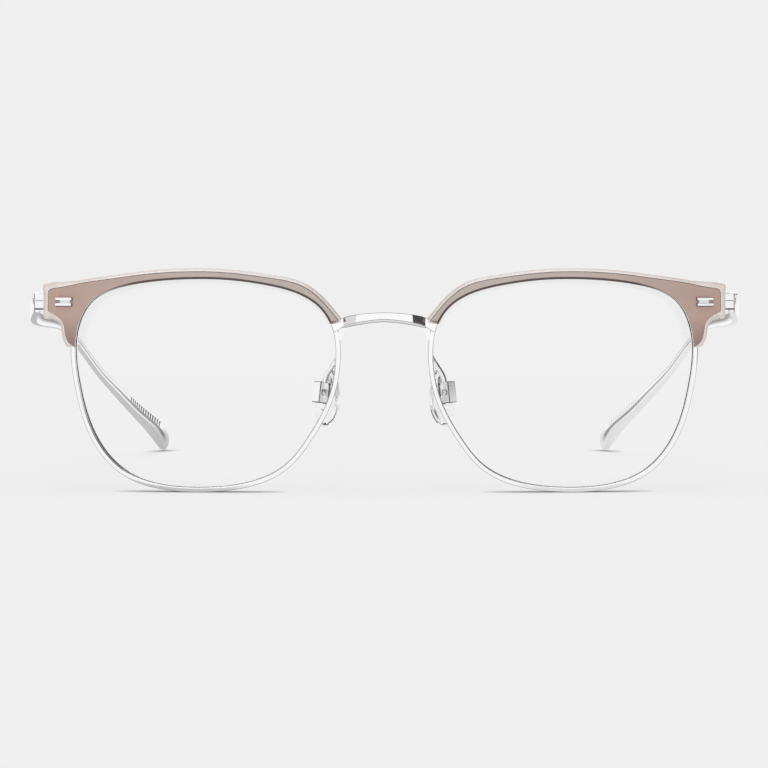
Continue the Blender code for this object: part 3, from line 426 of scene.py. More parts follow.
def outward(curve, place):
    """The curve's unit normal to its left, which is outward for a clockwise outline."""
    along = curve(np.asarray(place) + TANGENT_STEP) - curve(np.asarray(place) - TANGENT_STEP)
    return unit(np.stack((-along[..., 1], along[..., 0]), -1))


def face_depth(u, v):
    """Depth of the lens surface: a paraboloid of the face curve's radius, plus the wrap."""
    return (u * u + v * v) / (2 * FACE_CURVE_RADIUS) + u * WRAP_SLOPE_SHARE


def face_point(u, v, back=0.0):
    """The point that lies `back` behind the lens surface, along its normal."""
    u, v, back = np.broadcast_arrays(u, v, back)
    normal = unit(np.stack((-u / FACE_CURVE_RADIUS - WRAP_SLOPE_SHARE, np.ones_like(u),
                            -v / FACE_CURVE_RADIUS), -1))
    return np.stack((LENS_X + u, face_depth(u, v), v), -1) + normal * back[..., None]


def front_point(u, v, back=0.0):
    """The point seen at this place from straight ahead, as deep as face_point puts it."""
    u, v, back = np.broadcast_arrays(u, v, back)
    lean = 1 + (u / FACE_CURVE_RADIUS + WRAP_SLOPE_SHARE) ** 2 + (v / FACE_CURVE_RADIUS) ** 2
    return np.stack((LENS_X + u, face_depth(u, v) + back * np.sqrt(lean), v), -1)


lens_outline = spline([(u * HALF_WIDTH, v * HALF_HEIGHT) for u, v in LENS_OUTLINE_SHARES],
                      closed=True)
LENS_KNOTS = len(LENS_OUTLINE_SHARES)


def rim_point(knot, offset, back):
    """Points at knots of the lens outline, moved out by offset and back from the surface."""
    offset = np.asarray(offset, float)
    place = lens_outline(knot) + outward(lens_outline, knot) * offset[..., None]
    return face_point(place[..., 0], place[..., 1], back)


def eased(rings, radii, steps=CORNER_STEPS):
    """Rings with their corners rounded off.

    Each corner becomes the quadratic curve that leaves its first side and arrives on its next
    one, a radius from the corner, or under half a side where the side is short.
    """
    rings = np.asarray(rings, float)
    before, after = np.roll(rings, 1, 1) - rings, np.roll(rings, -1, 1) - rings
    shorter = np.minimum(np.linalg.norm(before, axis=-1), np.linalg.norm(after, axis=-1))
    cut = np.minimum(np.asarray(radii, float), 0.45 * shorter)[..., None]
    start, end = rings + unit(before) * cut, rings + unit(after) * cut
    t = np.linspace(0, 1, steps)[:, None]
    start, middle, end = start[:, :, None], rings[:, :, None], end[:, :, None]
    bent = start * (1 - t) ** 2 + middle * 2 * t * (1 - t) + end * t**2
    return bent.reshape(len(rings), -1, 3)


def eased_ends(rings):
    """Rings whose first and last are drawn in towards their middle, so both ends are eased."""
    def end(ring, inner):
        """The ring drawn in, and the ring itself a little further along."""
        middle = ring.mean(0)
        step = unit(inner.mean(0) - middle) * END_EASE
        return ring + unit(middle - ring) * END_EASE, ring + step

    first, second = end(rings[0], rings[1])
    last, ahead = end(rings[-1], rings[-2])
    return np.concatenate((first[None], second[None], rings[1:-1], ahead[None], last[None]))


def skin(rings, loop=False, poles=None):
    """Points and faces of a closed surface over rings of points.

    Quads join neighbouring rings. Each end is closed by one flat face, or by triangles to a
    pole where two poles are given, or by the first ring where the rings run in a loop.
    """
    rings = np.asarray(rings, float)
    count, size = rings.shape[:2]
    i, j = np.meshgrid(np.arange(count if loop else count - 1), np.arange(size), indexing="ij")
    here, there, k = i * size, (i + 1) % count * size, (j + 1) % size
    faces = np.stack((here + j, here + k, there + k, there + j), -1).reshape(-1, 4).tolist()
    points = rings.reshape(-1, 3)
    around = np.arange(size)
    if poles is not None:
        points = np.concatenate((points, np.asarray(poles, float)))
        start, last, turn = count * size, (count - 1) * size, np.roll(around, -1)
        faces += np.stack((turn, around, np.full(size, start)), -1).tolist()
        faces += np.stack((last + around, last + turn, np.full(size, start + 1)), -1).tolist()
    elif not loop:
        faces += [around[::-1].tolist(), (around + (count - 1) * size).tolist()]
    return points, faces


def volume(points, faces):
    """The signed volume inside closed faces: the sum over their triangles of point products."""
    by_size = {}
    for face in faces:
        by_size.setdefault(len(face), []).append(face)
    total = 0.0
    for size, group in by_size.items():
        ring = points[np.array(group)]
        for corner in range(1, size - 1):
            cross = np.cross(ring[:, corner], ring[:, corner + 1])
            total += (ring[:, 0] * cross).sum() / 6
    return total


def add_piece(name, made, material, body, stands_for, side=1):
    """One finished piece: closed shells in one mesh, placed, mirrored to its side and riding.

    What is made is the shells and the marks. Each shell is turned so that its faces point
    outwards. Marks are values per point, by attribute name, that the finish reads.
    """
    shells, marks = made
    points, faces = [], []
    for shell_points, shell_faces in shells:
        placed = shell_points * (side, 1, 1) + (0, -DEPTH_CENTRE, LENS_RISE)
        if volume(placed, shell_faces) < 0:
            shell_faces = [face[::-1] for face in shell_faces]
        start = sum(len(p) for p in points)
        points.append(placed)
        faces += [[start + number for number in face] for face in shell_faces]
    mesh = bpy.data.meshes.new(name)
    mesh.from_pydata(np.concatenate(points).tolist(), [], faces)
    for label, values in marks.items():
        mark = mesh.attributes.new(label, "FLOAT", "POINT")
        mark.data.foreach_set("value", np.asarray(values, np.float32))
    mesh.shade_smooth()
    mesh.set_sharp_from_angle(angle=SMOOTH_ANGLE)
    mesh.materials.append(material)
    piece = bpy.data.objects.new(name, mesh)
    bpy.context.scene.collection.objects.link(piece)
    steady = piece.modifiers.new("flat_faces_look_flat", "WEIGHTED_NORMAL")
    steady.keep_sharp = True
    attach(piece, body)
    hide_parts(stands_for)
    return piece


def add_pair(name, made, finish_name, stands_for, body="front"):
    """A piece and its mirror image, each in place of its own side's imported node."""
    return [add_piece(f"{name}_{label}", made, finish(finish_name), body.format(label),
                      f"{stands_for}_{label}", side) for side, label in SIDES]


def add_node(tree, kind, inputs=None, **settings):
    """Adds a node with its settings, and its inputs as values or links."""
    made = tree.nodes.new(kind)
    for name, value in settings.items():
        setattr(made, name, value)
    for name, value in (inputs or {}).items():
        if isinstance(value, bpy.types.NodeSocket):
            tree.links.new(value, made.inputs[name])
        else:
            made.inputs[name].default_value = value
    return made


def finish(name):
    """The finish of this name, made when it is first asked for."""
    found = bpy.data.materials.get(name)
    if found:
        return found
    made = bpy.data.materials.new(name)
    made.use_nodes = True
    tree = made.node_tree
    place = add_node(tree, "ShaderNodeTexCoord").outputs["Object"]
    FINISHES[name](tree, tree.nodes["Principled BSDF"], place,
                   bpy.context.scene.eyeglass_colours)
    return made


def texture(tree, shader, pattern, rough=None, relief=None):
    """What a pattern does to the surface.

    Rough is the pattern's start and end and the roughness at each. Relief is the strength and
    the height of what seems to rise where the pattern is light.
    """
    if rough:
        start, end, low, high = rough
        spread = add_node(tree, "ShaderNodeMapRange", {
            "Value": pattern.outputs["Fac"], "From Min": start, "From Max": end, "To Min": low,
            "To Max": high})
        tree.links.new(spread.outputs["Result"], shader.inputs["Roughness"])
    if relief:
        strength, height = relief
        bump = add_node(tree, "ShaderNodeBump", {
            "Height": pattern.outputs["Fac"], "Strength": strength, "Distance": height})
        tree.links.new(bump.outputs["Normal"], shader.inputs["Normal"])


def marked(tree, mark, plain, full):
    """A colour that goes from plain to full with the piece's marks of this name."""
    share = add_node(tree, "ShaderNodeAttribute", attribute_name=mark).outputs["Fac"]
    return add_node(tree, "ShaderNodeMix", {0: share, 6: plain, 7: full},
                    data_type="RGBA").outputs[2]


def colour_metal(tree, shader, place, colours):
    """Bright plate, with painted shade: dark lines that stand in for shadow and for dark
    surroundings mirrored in the plating.

    The marking attribute is 1 where the shade is painted, and a fine grain breaks up its edge.
    """
    grain = add_node(tree, "ShaderNodeTexNoise", {"Vector": place, "Scale": 4000.0})
    left = add_node(tree, "ShaderNodeAttribute", attribute_name="oxide")
    share = add_node(tree, "ShaderNodeMapRange", {
        "Value": grain.outputs["Fac"], "To Min": 0.8, "To Max": 1.1})
    oxide = add_node(tree, "ShaderNodeMath", {
        0: left.outputs["Fac"], 1: share.outputs["Result"]}, operation="MULTIPLY")
    shown = add_node(tree, "ShaderNodeMix", {
        0: oxide.outputs[0], 6: colours.silver, 7: colours.oxide}, data_type="RGBA")
    tree.links.new(shown.outputs[2], shader.inputs["Base Color"])
    shader.inputs["Metallic"].default_value = 1.0


def polished_palladium(tree, shader, place, colours):
    """Polished palladium plate on nickel silver: a bright mirror with a faint polishing haze."""
    haze = add_node(tree, "ShaderNodeTexNoise", {"Vector": place, "Scale": 250.0, "Detail": 3.0})
    texture(tree, shader, haze, rough=(0.3, 0.7, 0.07, 0.13))
    # Polishing marks are about 0.02 mm apart, and are drawn at 0.2 mm so that they show.
    marks = add_node(tree, "ShaderNodeTexNoise", {"Vector": place, "Scale": 5000.0})
    texture(tree, shader, marks, relief=(0.04, 0.00001))
    colour_metal(tree, shader, place, colours)


def drawn_palladium(tree, shader, place, colours):
    """The same plating over drawn wire: fine lines run along the temple."""
    drawn = add_node(tree, "ShaderNodeMapping", {"Vector": place, "Scale": (1.0, 0.02, 1.0)})
    # Drawing lines are finer than 0.05 mm, and are drawn at 0.25 mm so that they show.
    lines = add_node(tree, "ShaderNodeTexNoise", {
        "Vector": drawn.outputs["Vector"], "Scale": 4000.0, "Detail": 2.0})
    texture(tree, shader, lines, (0.3, 0.7, 0.10, 0.18), (0.05, 0.00001))
    colour_metal(tree, shader, place, colours)


def turned_steel(tree, shader, place, colours):
    """Turned stainless steel: rings too fine to see, so only a soft roughness shows."""
    grain = add_node(tree, "ShaderNodeTexNoise", {"Vector": place, "Scale": 6000.0})
    texture(tree, shader, grain, rough=(0.0, 1.0, 0.2, 0.34))
    shader.inputs["Base Color"].default_value = colours.steel
    shader.inputs["Metallic"].default_value = 1.0


def laminated_taupe(tree, shader, place, colours):
    """Tumbled cellulose acetate: colour drifts in a waxy gloss; its cut walls have own tone and
    painted shade.
    """
    axes = add_node(tree, "ShaderNodeSeparateXYZ", {"Vector": place})
    side = add_node(tree, "ShaderNodeMath", {0: axes.outputs["X"]}, operation="ABSOLUTE")
    outer = add_node(tree, "ShaderNodeMapRange", {
        "Value": side.outputs[0], "From Min": 0.040, "From Max": 0.066})
    low = add_node(tree, "ShaderNodeMapRange", {
        "Value": axes.outputs["Z"], "From Min": 0.036, "From Max": 0.030})
    ends = add_node(tree, "ShaderNodeMix", {
        0: outer.outputs["Result"], 6: colours.taupe_centre, 7: colours.taupe_end},
        data_type="RGBA")
    tips = add_node(tree, "ShaderNodeMix", {
        0: low.outputs["Result"], 6: ends.outputs[2], 7: colours.taupe_tip}, data_type="RGBA")
    # The sheet's colour drifts over about 12 mm.
    drift = add_node(tree, "ShaderNodeTexNoise", {
        "Vector": place, "Scale": 85.0, "Detail": 2.0, "Roughness": 0.4})
    drift_share = add_node(tree, "ShaderNodeMapRange", {
        "Value": drift.outputs["Fac"], "From Min": 0.35, "From Max": 0.65, "To Min": 0.96,
        "To Max": 1.04})
    drifting = add_node(tree, "ShaderNodeVectorMath", {
        0: tips.outputs[2], 3: drift_share.outputs["Result"]}, operation="SCALE")
    # Darker walls: partly the acetate's edge tone, partly painted shade and reflection
    walls = marked(tree, "cut_wall_tone_and_shade", drifting.outputs[0], colours.taupe_wall)
    tree.links.new(marked(tree, "lens_wall", walls, colours.lens_wall),
                   shader.inputs["Base Color"])
    # Tumbling leaves shallow waves about 2 mm wide.
    waves = add_node(tree, "ShaderNodeTexNoise", {"Vector": place, "Scale": 500.0})
    texture(tree, shader, waves, relief=(0.05, 0.00005))
    shader.inputs["Roughness"].default_value = 0.24
    shader.inputs["IOR"].default_value = 1.48
    shader.inputs["Subsurface Weight"].default_value = 0.08
    shader.inputs["Subsurface Radius"].default_value = (0.0006, 0.0004, 0.0003)
    shader.inputs["Subsurface Scale"].default_value = 1.0


def pink_crystal(tree, shader, place, colours):
    """Pale pink crystal acetate: light passes into it, and leaves milky at its polished edges."""
    cloud = add_node(tree, "ShaderNodeTexNoise", {"Vector": place, "Scale": 300.0})
    texture(tree, shader, cloud, rough=(0.0, 1.0, 0.12, 0.2))
    deep = marked(tree, "thick_edge", colours.crystal, colours.crystal_deep)
    # The mouth's walls: the acetate's edge tone together with painted shade and reflection
    tree.links.new(marked(tree, "lens_wall", deep, colours.lens_wall),
                   shader.inputs["Base Color"])
    shader.inputs["IOR"].default_value = 1.48
    shader.inputs["Transmission Weight"].default_value = 0.2
    shader.inputs["Subsurface Weight"].default_value = 0.4
    shader.inputs["Subsurface Radius"].default_value = (0.0015, 0.0012, 0.0011)
    shader.inputs["Subsurface Scale"].default_value = 1.0


def let_lamps_through(tree, shader):
    """Lamps shine through this clear piece, as they do through thin glass."""
    rays = add_node(tree, "ShaderNodeLightPath").outputs["Is Shadow Ray"]
    clear = add_node(tree, "ShaderNodeBsdfTransparent")
    mixed = add_node(tree, "ShaderNodeMixShader", {
        0: rays, 1: shader.outputs[0], 2: clear.outputs[0]})
    tree.links.new(mixed.outputs[0], tree.nodes["Material Output"].inputs["Surface"])


def plano_lens(tree, shader, place, colours):
    """Hard-coated clear plano lens: no tint, a smooth mirror at a low angle."""
    film = add_node(tree, "ShaderNodeTexNoise", {"Vector": place, "Scale": 120.0})
    texture(tree, shader, film, rough=(0.0, 1.0, 0.0, 0.012))
    shader.inputs["Base Color"].default_value = colours.lens
    shader.inputs["IOR"].default_value = 1.49
    shader.inputs["Transmission Weight"].default_value = 1.0
    let_lamps_through(tree, shader)


def moulded_silicone(tree, shader, place, colours):
    """Moulded clear silicone: a soft, slightly milky glass with a fine satin skin."""
    # The mould's grit is about 0.05 mm, and is drawn at 0.3 mm so that it shows.
    satin = add_node(tree, "ShaderNodeTexNoise", {"Vector": place, "Scale": 3300.0})
    texture(tree, shader, satin, (0.0, 1.0, 0.04, 0.1), (0.03, 0.00001))
    shader.inputs["Base Color"].default_value = colours.silicone
    shader.inputs["IOR"].default_value = 1.41
    shader.inputs["Transmission Weight"].default_value = 1.0
    let_lamps_through(tree, shader)


def paper_sweep(tree, shader, place, colours):
    """Matt white paper over a light table, with only the faint mottle of its fibres.

    Most of what is seen of it is its own glow, so real shadows are faint. Where a piece all but
    touches it, a painted contact shadow darkens the glow.
    """
    fibre = add_node(tree, "ShaderNodeTexNoise", {"Vector": place, "Scale": 900.0})
    texture(tree, shader, fibre, relief=(0.01, 0.00001))
    # Painted shade in the reflections: under the temples the sheet is greyer where the metal
    # mirrors it, most on its -X side.
    axes = add_node(tree, "ShaderNodeSeparateXYZ", {"Vector": place})
    grey = add_node(tree, "ShaderNodeMapRange", {
        "Value": axes.outputs["X"], "From Min": -0.06, "From Max": 0.06, "To Min": 0.54,
        "To Max": 0.82})
    ahead = add_node(tree, "ShaderNodeMapRange", {
        "Value": axes.outputs["Y"], "From Min": -0.0740, "From Max": -0.0705})
    behind = add_node(tree, "ShaderNodeMapRange", {
        "Value": axes.outputs["Y"], "From Min": 0.105, "From Max": 0.085})
    under = add_node(tree, "ShaderNodeMath", {
        0: ahead.outputs["Result"], 1: behind.outputs["Result"]}, operation="MULTIPLY")
    in_metal = add_node(tree, "ShaderNodeMix", {
        0: under.outputs[0], 2: 1.0, 3: grey.outputs["Result"]})
    path = add_node(tree, "ShaderNodeLightPath")
    mirrored = add_node(tree, "ShaderNodeMath", {
        0: path.outputs["Glossy Depth"], 1: 1.0}, operation="MINIMUM").outputs[0]
    shown = add_node(tree, "ShaderNodeMix", {
        0: mirrored, 6: colours.backdrop, 7: in_metal.outputs[0]}, data_type="RGBA").outputs[2]
    tree.links.new(shown, shader.inputs["Base Color"])
    shader.inputs["Roughness"].default_value = 1.0
    shader.inputs["Specular IOR Level"].default_value = 0.0
    # A painted contact shadow: the glow fades within 4 mm of a piece, by its ambient occlusion,
    # but not in what the metal shows.
    painted_contact_shadow = add_node(tree, "ShaderNodeAmbientOcclusion", {"Distance": 0.004}, samples=8)
    shade = add_node(tree, "ShaderNodeMath", {0: painted_contact_shadow.outputs["AO"], 1: 1.6},
                     operation="POWER")
    strength = add_node(tree, "ShaderNodeMix", {0: mirrored, 2: shade.outputs[0], 3: 1.0})
    glow = add_node(tree, "ShaderNodeEmission", {
        "Color": shown, "Strength": strength.outputs[0]})
    # Matt pieces get none of the glow.
    glowing = add_node(tree, "ShaderNodeMath", {
        0: path.outputs["Is Diffuse Ray"], 1: -0.78, 2: 0.78}, operation="MULTIPLY_ADD")
    mixed = add_node(tree, "ShaderNodeMixShader", {
        0: glowing.outputs[0], 1: shader.outputs[0], 2: glow.outputs[0]})
    tree.links.new(mixed.outputs[0], tree.nodes["Material Output"].inputs["Surface"])


FINISHES = {
    "polished_palladium": polished_palladium,
    "drawn_palladium": drawn_palladium,
    "turned_steel": turned_steel,
    "laminated_taupe": laminated_taupe,
    "pink_crystal": pink_crystal,
    "plano_lens": plano_lens,
    "moulded_silicone": moulded_silicone,
    "paper_sweep": paper_sweep,
}


def dress(node, name):
    """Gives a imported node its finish."""
    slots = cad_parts[node].data.materials
    slots.clear()
    slots.append(finish(name))


def eye_wire(sizes):
    """The grooved wire: one section carried round the lens outline, open at the split.

    Painted shade runs along its outer front edge, a dark outline standing in for shade and
    reflection there.
    """
    half, groove = WIRE_DEPTH / 2, GROOVE_WIDTH / 2
    floor = groove * GROOVE_FLOOR_SHARE
    offset, back, radius = np.array((
        (0, -half, sizes.wire_lip), (0, -groove, GROOVE_MOUTH_EDGE),
        (GROOVE_DEPTH, -floor, GROOVE_FLOOR_EDGE), (GROOVE_DEPTH, floor, GROOVE_FLOOR_EDGE),
        (0, groove, GROOVE_MOUTH_EDGE), (0, half, sizes.wire_lip),
        (WIRE_WIDTH, half, sizes.wire_edge), (WIRE_WIDTH, -half, sizes.wire_edge))).T
    around = np.linalg.norm(lens_outline(SPLIT_KNOT + 0.5) - lens_outline(SPLIT_KNOT - 0.5))
    ends = SPLIT_GAP / 2 / around
    knots = np.linspace(SPLIT_KNOT + ends, SPLIT_KNOT + LENS_KNOTS - ends,
                        LENS_KNOTS * WIRE_STEPS + 1)
    rings = eased(rim_point(knots[:, None], offset, back), radius)
    oxide = np.zeros(rings.shape[:2])
    # Painted shade along the outer front edge
    oxide[:, 1 - CORNER_STEPS:-1] = 0.9
    return [skin(rings)], {"oxide": oxide.ravel()}


def lens():
    """Front and back sheets of rings that shrink to the centre, joined by a V-shaped edge."""
    flat, bevel = LENS_THICKNESS / 2, LENS_BEVEL_WIDTH / 2
    rows = [(share, -LENS_EDGE_GAP, -flat) for share in LENS_RING_SHARES]
    rows += [(1, -LENS_EDGE_GAP, -bevel), (1, LENS_BEVEL_HEIGHT, 0), (1, -LENS_EDGE_GAP, bevel)]
    rows += [(share, -LENS_EDGE_GAP, flat) for share in LENS_RING_SHARES[::-1]]
    share, offset, back = np.array(rows).T[:, :, None]
    knots = np.arange(0, LENS_KNOTS, 1 / LENS_STEPS)
    place = lens_outline(knots) + outward(lens_outline, knots) * offset[..., None]
    place = place * share[..., None]
    poles = face_point(np.zeros(2), np.zeros(2), np.array((-flat, flat)))
    return [skin(face_point(place[..., 0], place[..., 1], back), poles=poles)], {}


def between(values, row):
    """A value between table rows, straight on past the first and the last."""
    values = np.asarray(values, float)
    first = np.clip(np.floor(row).astype(int), 0, len(values) - 2)
    return values[first] + (values[first + 1] - values[first]) * (row - first)


BROW_TABLE = np.array(BROW_ROW_SHARES)
BROW_LAST = len(BROW_TABLE) - 1
BROW_ROWS = np.arange(BROW_LAST + 1)
BROW_BEVELS = np.select(
    [BROW_ROWS < BROW_TOP_ROWS, np.isin(BROW_ROWS, BROW_CORNER_ROWS), BROW_ROWS <= BROW_END_ROWS],
    [BROW_TOP_BEVEL, BROW_CORNER_BEVEL, BROW_END_BEVEL], BROW_LOWER_BEVEL)
taupe_outline = spline(BROW_TABLE[:, 1:3] * (HALF_WIDTH, HALF_HEIGHT))


def brow_inner(row, offset, back):
    """Points over the lens edge, at rows of the brow's table."""
    return rim_point(between(BROW_TABLE[:, 0], row), offset, back)


def brow_mouth(row, offset, back):
    """Points along the brow's edge at the lens, whose walls run straight back."""
    knot = between(BROW_TABLE[:, 0], row)
    place = lens_outline(knot) + outward(lens_outline, knot) * np.asarray(offset)[..., None]
    return front_point(place[..., 0], place[..., 1], back)


def brow_outer(row, offset, back):
    """Points along the taupe layer's outer outline, moved out by offset."""
    place = taupe_outline(row) + outward(taupe_outline, row) * np.asarray(offset)[..., None]
    return front_point(place[..., 0], place[..., 1], back)


def brow_crystal(sizes):
    """The clear base: a front wall over the wire and a flange behind, as one changing section."""
    row = np.linspace(-BROW_BASE_NASAL, BROW_LAST + BROW_BASE_TIP,
                      round((BROW_LAST + BROW_BASE_NASAL + BROW_BASE_TIP) * BROW_STEPS))
    kept = np.clip(row, 0, BROW_LAST)
    bevel = between(BROW_BEVELS, kept)
    flange = between(BROW_TABLE[:, 3], kept) * WIRE_DEPTH / 2
    inner = WIRE_WIDTH + JOIN_GAP
    lip = np.interp(row, BROW_MOUTH_ROWS, BROW_LIPS)
    rings = np.stack((
        brow_mouth(row, lip, LAMINATE), brow_mouth(row, lip, WALL_BACK),
        brow_inner(row, inner, WALL_BACK), brow_inner(row, inner, flange),
        brow_outer(row, bevel, flange), brow_outer(row, bevel, WALL_BACK),
        brow_outer(row, 0, LAMINATE)), 1)
    steps = CORNER_STEPS
    radii = np.array((*CRYSTAL_SMALL_EDGES, sizes.crystal_edge, sizes.crystal_edge,
                      CRYSTAL_SEAM_EDGE))
    # Lens-side walls that get the acetate's edge tone and painted shade
    walls = np.repeat((1.0, 1.0, 0, 0, 0, 0, 0), steps)
    deep = np.repeat((0, 0, 0, 1.0, 1.0, 1.0, 0.1), steps)
    rings = eased_ends(eased(rings, radii, steps))
    fading = np.interp(row, BROW_MOUTH_ROWS, (1, 0))
    fading = np.concatenate((fading[:1], fading, fading[-1:]))
    return [skin(rings)], {"lens_wall": (fading[:, None] * walls).ravel(),
                           "thick_edge": np.tile(deep, len(rings))}


def brow_taupe(sizes):
    """The laminated front: a flat layer between the lens edge and its own outline."""
    row = np.linspace(0, BROW_LAST, BROW_LAST * BROW_STEPS + 1)
    seat = LAMINATE - BROW_GLUE_LINE
    lip = np.interp(row, BROW_MOUTH_ROWS, BROW_LIPS)
    chamfer = np.interp(row, BROW_MOUTH_ROWS, BROW_CHAMFERS)
    rings = np.stack((
        brow_mouth(row, lip, seat), brow_mouth(row, lip, FACE_FRONT + chamfer),
        brow_mouth(row, lip + chamfer, FACE_FRONT),
        brow_outer(row, 0, FACE_FRONT), brow_outer(row, 0, seat)), 1)
    steps = TAUPE_CORNER_STEPS
    radii = np.array((*TAUPE_SMALL_EDGES, sizes.brow_edge, TAUPE_SEAM_EDGE))
    ramp = np.linspace(0, 1, steps)
    whole, none = np.ones(steps), np.zeros(steps)
    # Cut and lens-side walls that get the acetate's edge tone and painted shade
    cut = np.concatenate((none, none, none, np.minimum(ramp * steps, 1), whole))
    wall = np.concatenate((whole, whole, 1 - ramp, none, none))
    rings = eased_ends(eased(rings, radii, steps))
    fading = np.interp(row, BROW_MOUTH_ROWS, (1, 0.25))
    fading = np.concatenate((fading[:1], fading, fading[-1:]))
    marks = {"cut_wall_tone_and_shade": np.tile(cut, (len(rings), 1)), "lens_wall": fading[:, None] * wall}
    marks["cut_wall_tone_and_shade"][[0, -1]] = 1
    return [skin(rings)], {name: values.ravel() for name, values in marks.items()}


def block(corners, radii, levels, place, steps=CORNER_STEPS):
    """A block with rounded edges: a flat outline with eased corners, repeated at levels.

    Corners run anticlockwise, one outline for all levels or one for each. A level is its height
    and how far its ring is drawn in along the outline's own normals. The outcome is the rings.
    """
    heights, insets = np.array(levels).T
    corners = np.asarray(corners, float)
    flat = np.broadcast_to(corners, (len(heights), *corners.shape[-2:]))
    high = np.broadcast_to(heights[:, None, None], (*flat.shape[:2], 1))
    rings = eased(np.concatenate((flat, high), -1), radii, steps)
    along = np.roll(rings, -1, 1) - np.roll(rings, 1, 1)
    inward = unit(np.stack((-along[..., 1], along[..., 0], 0 * along[..., 0]), -1))
    return place(rings + inward * insets[:, None, None])


def edge_levels(low, high, radius):
    """Levels that round the lower and the upper edges of a block."""
    bend = radius * (1 - math.sqrt(0.5))
    return ((low, radius), (low + bend, bend), (low + radius, 0), (high - radius, 0),
            (high - bend, bend), (high, radius))


def box_corners(left, foot, right, top):
    """The corners of an upright rectangle, anticlockwise."""
    return ((left, foot), (right, foot), (right, top), (left, top))


def rivet():
    """Two polished bars, each on a dark plate in the brow's end, and the web between them.

    Each is a block whose outline lies on the brow's face. Painted shade is 1 on the plates, a dark
    ring of painted shadow round each bar, and lower on the web, as shade between the bars.
    """
    u, v = RIVET_OUTWARD_SHARE * HALF_WIDTH, RIVET_UP_SHARE * HALF_HEIGHT
    centre = front_point(u, v, FACE_FRONT)
    front = unit(face_point(u, v) - face_point(u, v, WIRE_DEPTH))
    along = unit(np.cross((0, 0, 1), front))
    up = np.cross(front, along)

    def place(local):
        """Points given across, up and out from the brow's face, put where they belong."""
        return (centre + local[..., :1] * along + local[..., 1:2] * up
                + local[..., 2:3] * front)

    reach, bar, pitch = RIVET_LENGTH / 2, RIVET_BAR_HEIGHT / 2, RIVET_BAR_PITCH / 2
    margin, sunk = RIVET_SHADOW_MARGIN, RIVET_SUNK
    change = reach * RIVET_SHADE_SHARE
    shells, oxide = [], []

    def add(corners, radius, levels, shade):
        """Keeps one more block, with the same painted shade all over."""
        shells.append(skin(block(corners, radius, levels, place)))
        oxide.append(np.full(len(shells[-1][0]), shade))

    for middle in (-pitch, pitch):
        foot, top = middle - bar, middle + bar
        # A dark plate of painted shadow under the bar, then the bar
        add(box_corners(-reach - margin, foot - margin, reach + margin, top + margin),
            margin * 1.5, ((sunk, 0), (RIVET_SHADOW_PLATE, 0), (RIVET_SHADOW_PLATE + 0.00001, 0.00003)), 1.0)
        add(box_corners(-reach, foot, reach, top), RIVET_CORNER,
            edge_levels(sunk, RIVET_PROUD, RIVET_EDGE), 0.0)
    # The web between the bars, in two lengths of painted shade
    for left, right, shade in ((-reach + RIVET_NOTCH, change, 0.22),
                               (change, reach - RIVET_NOTCH, 0.75)):
        add(box_corners(left, bar - pitch - 0.00005, right, pitch - bar + 0.00005), 0.00001,
            ((sunk, 0), (RIVET_WEB, 0)), shade)
    return shells, {"oxide": np.concatenate(oxide)}


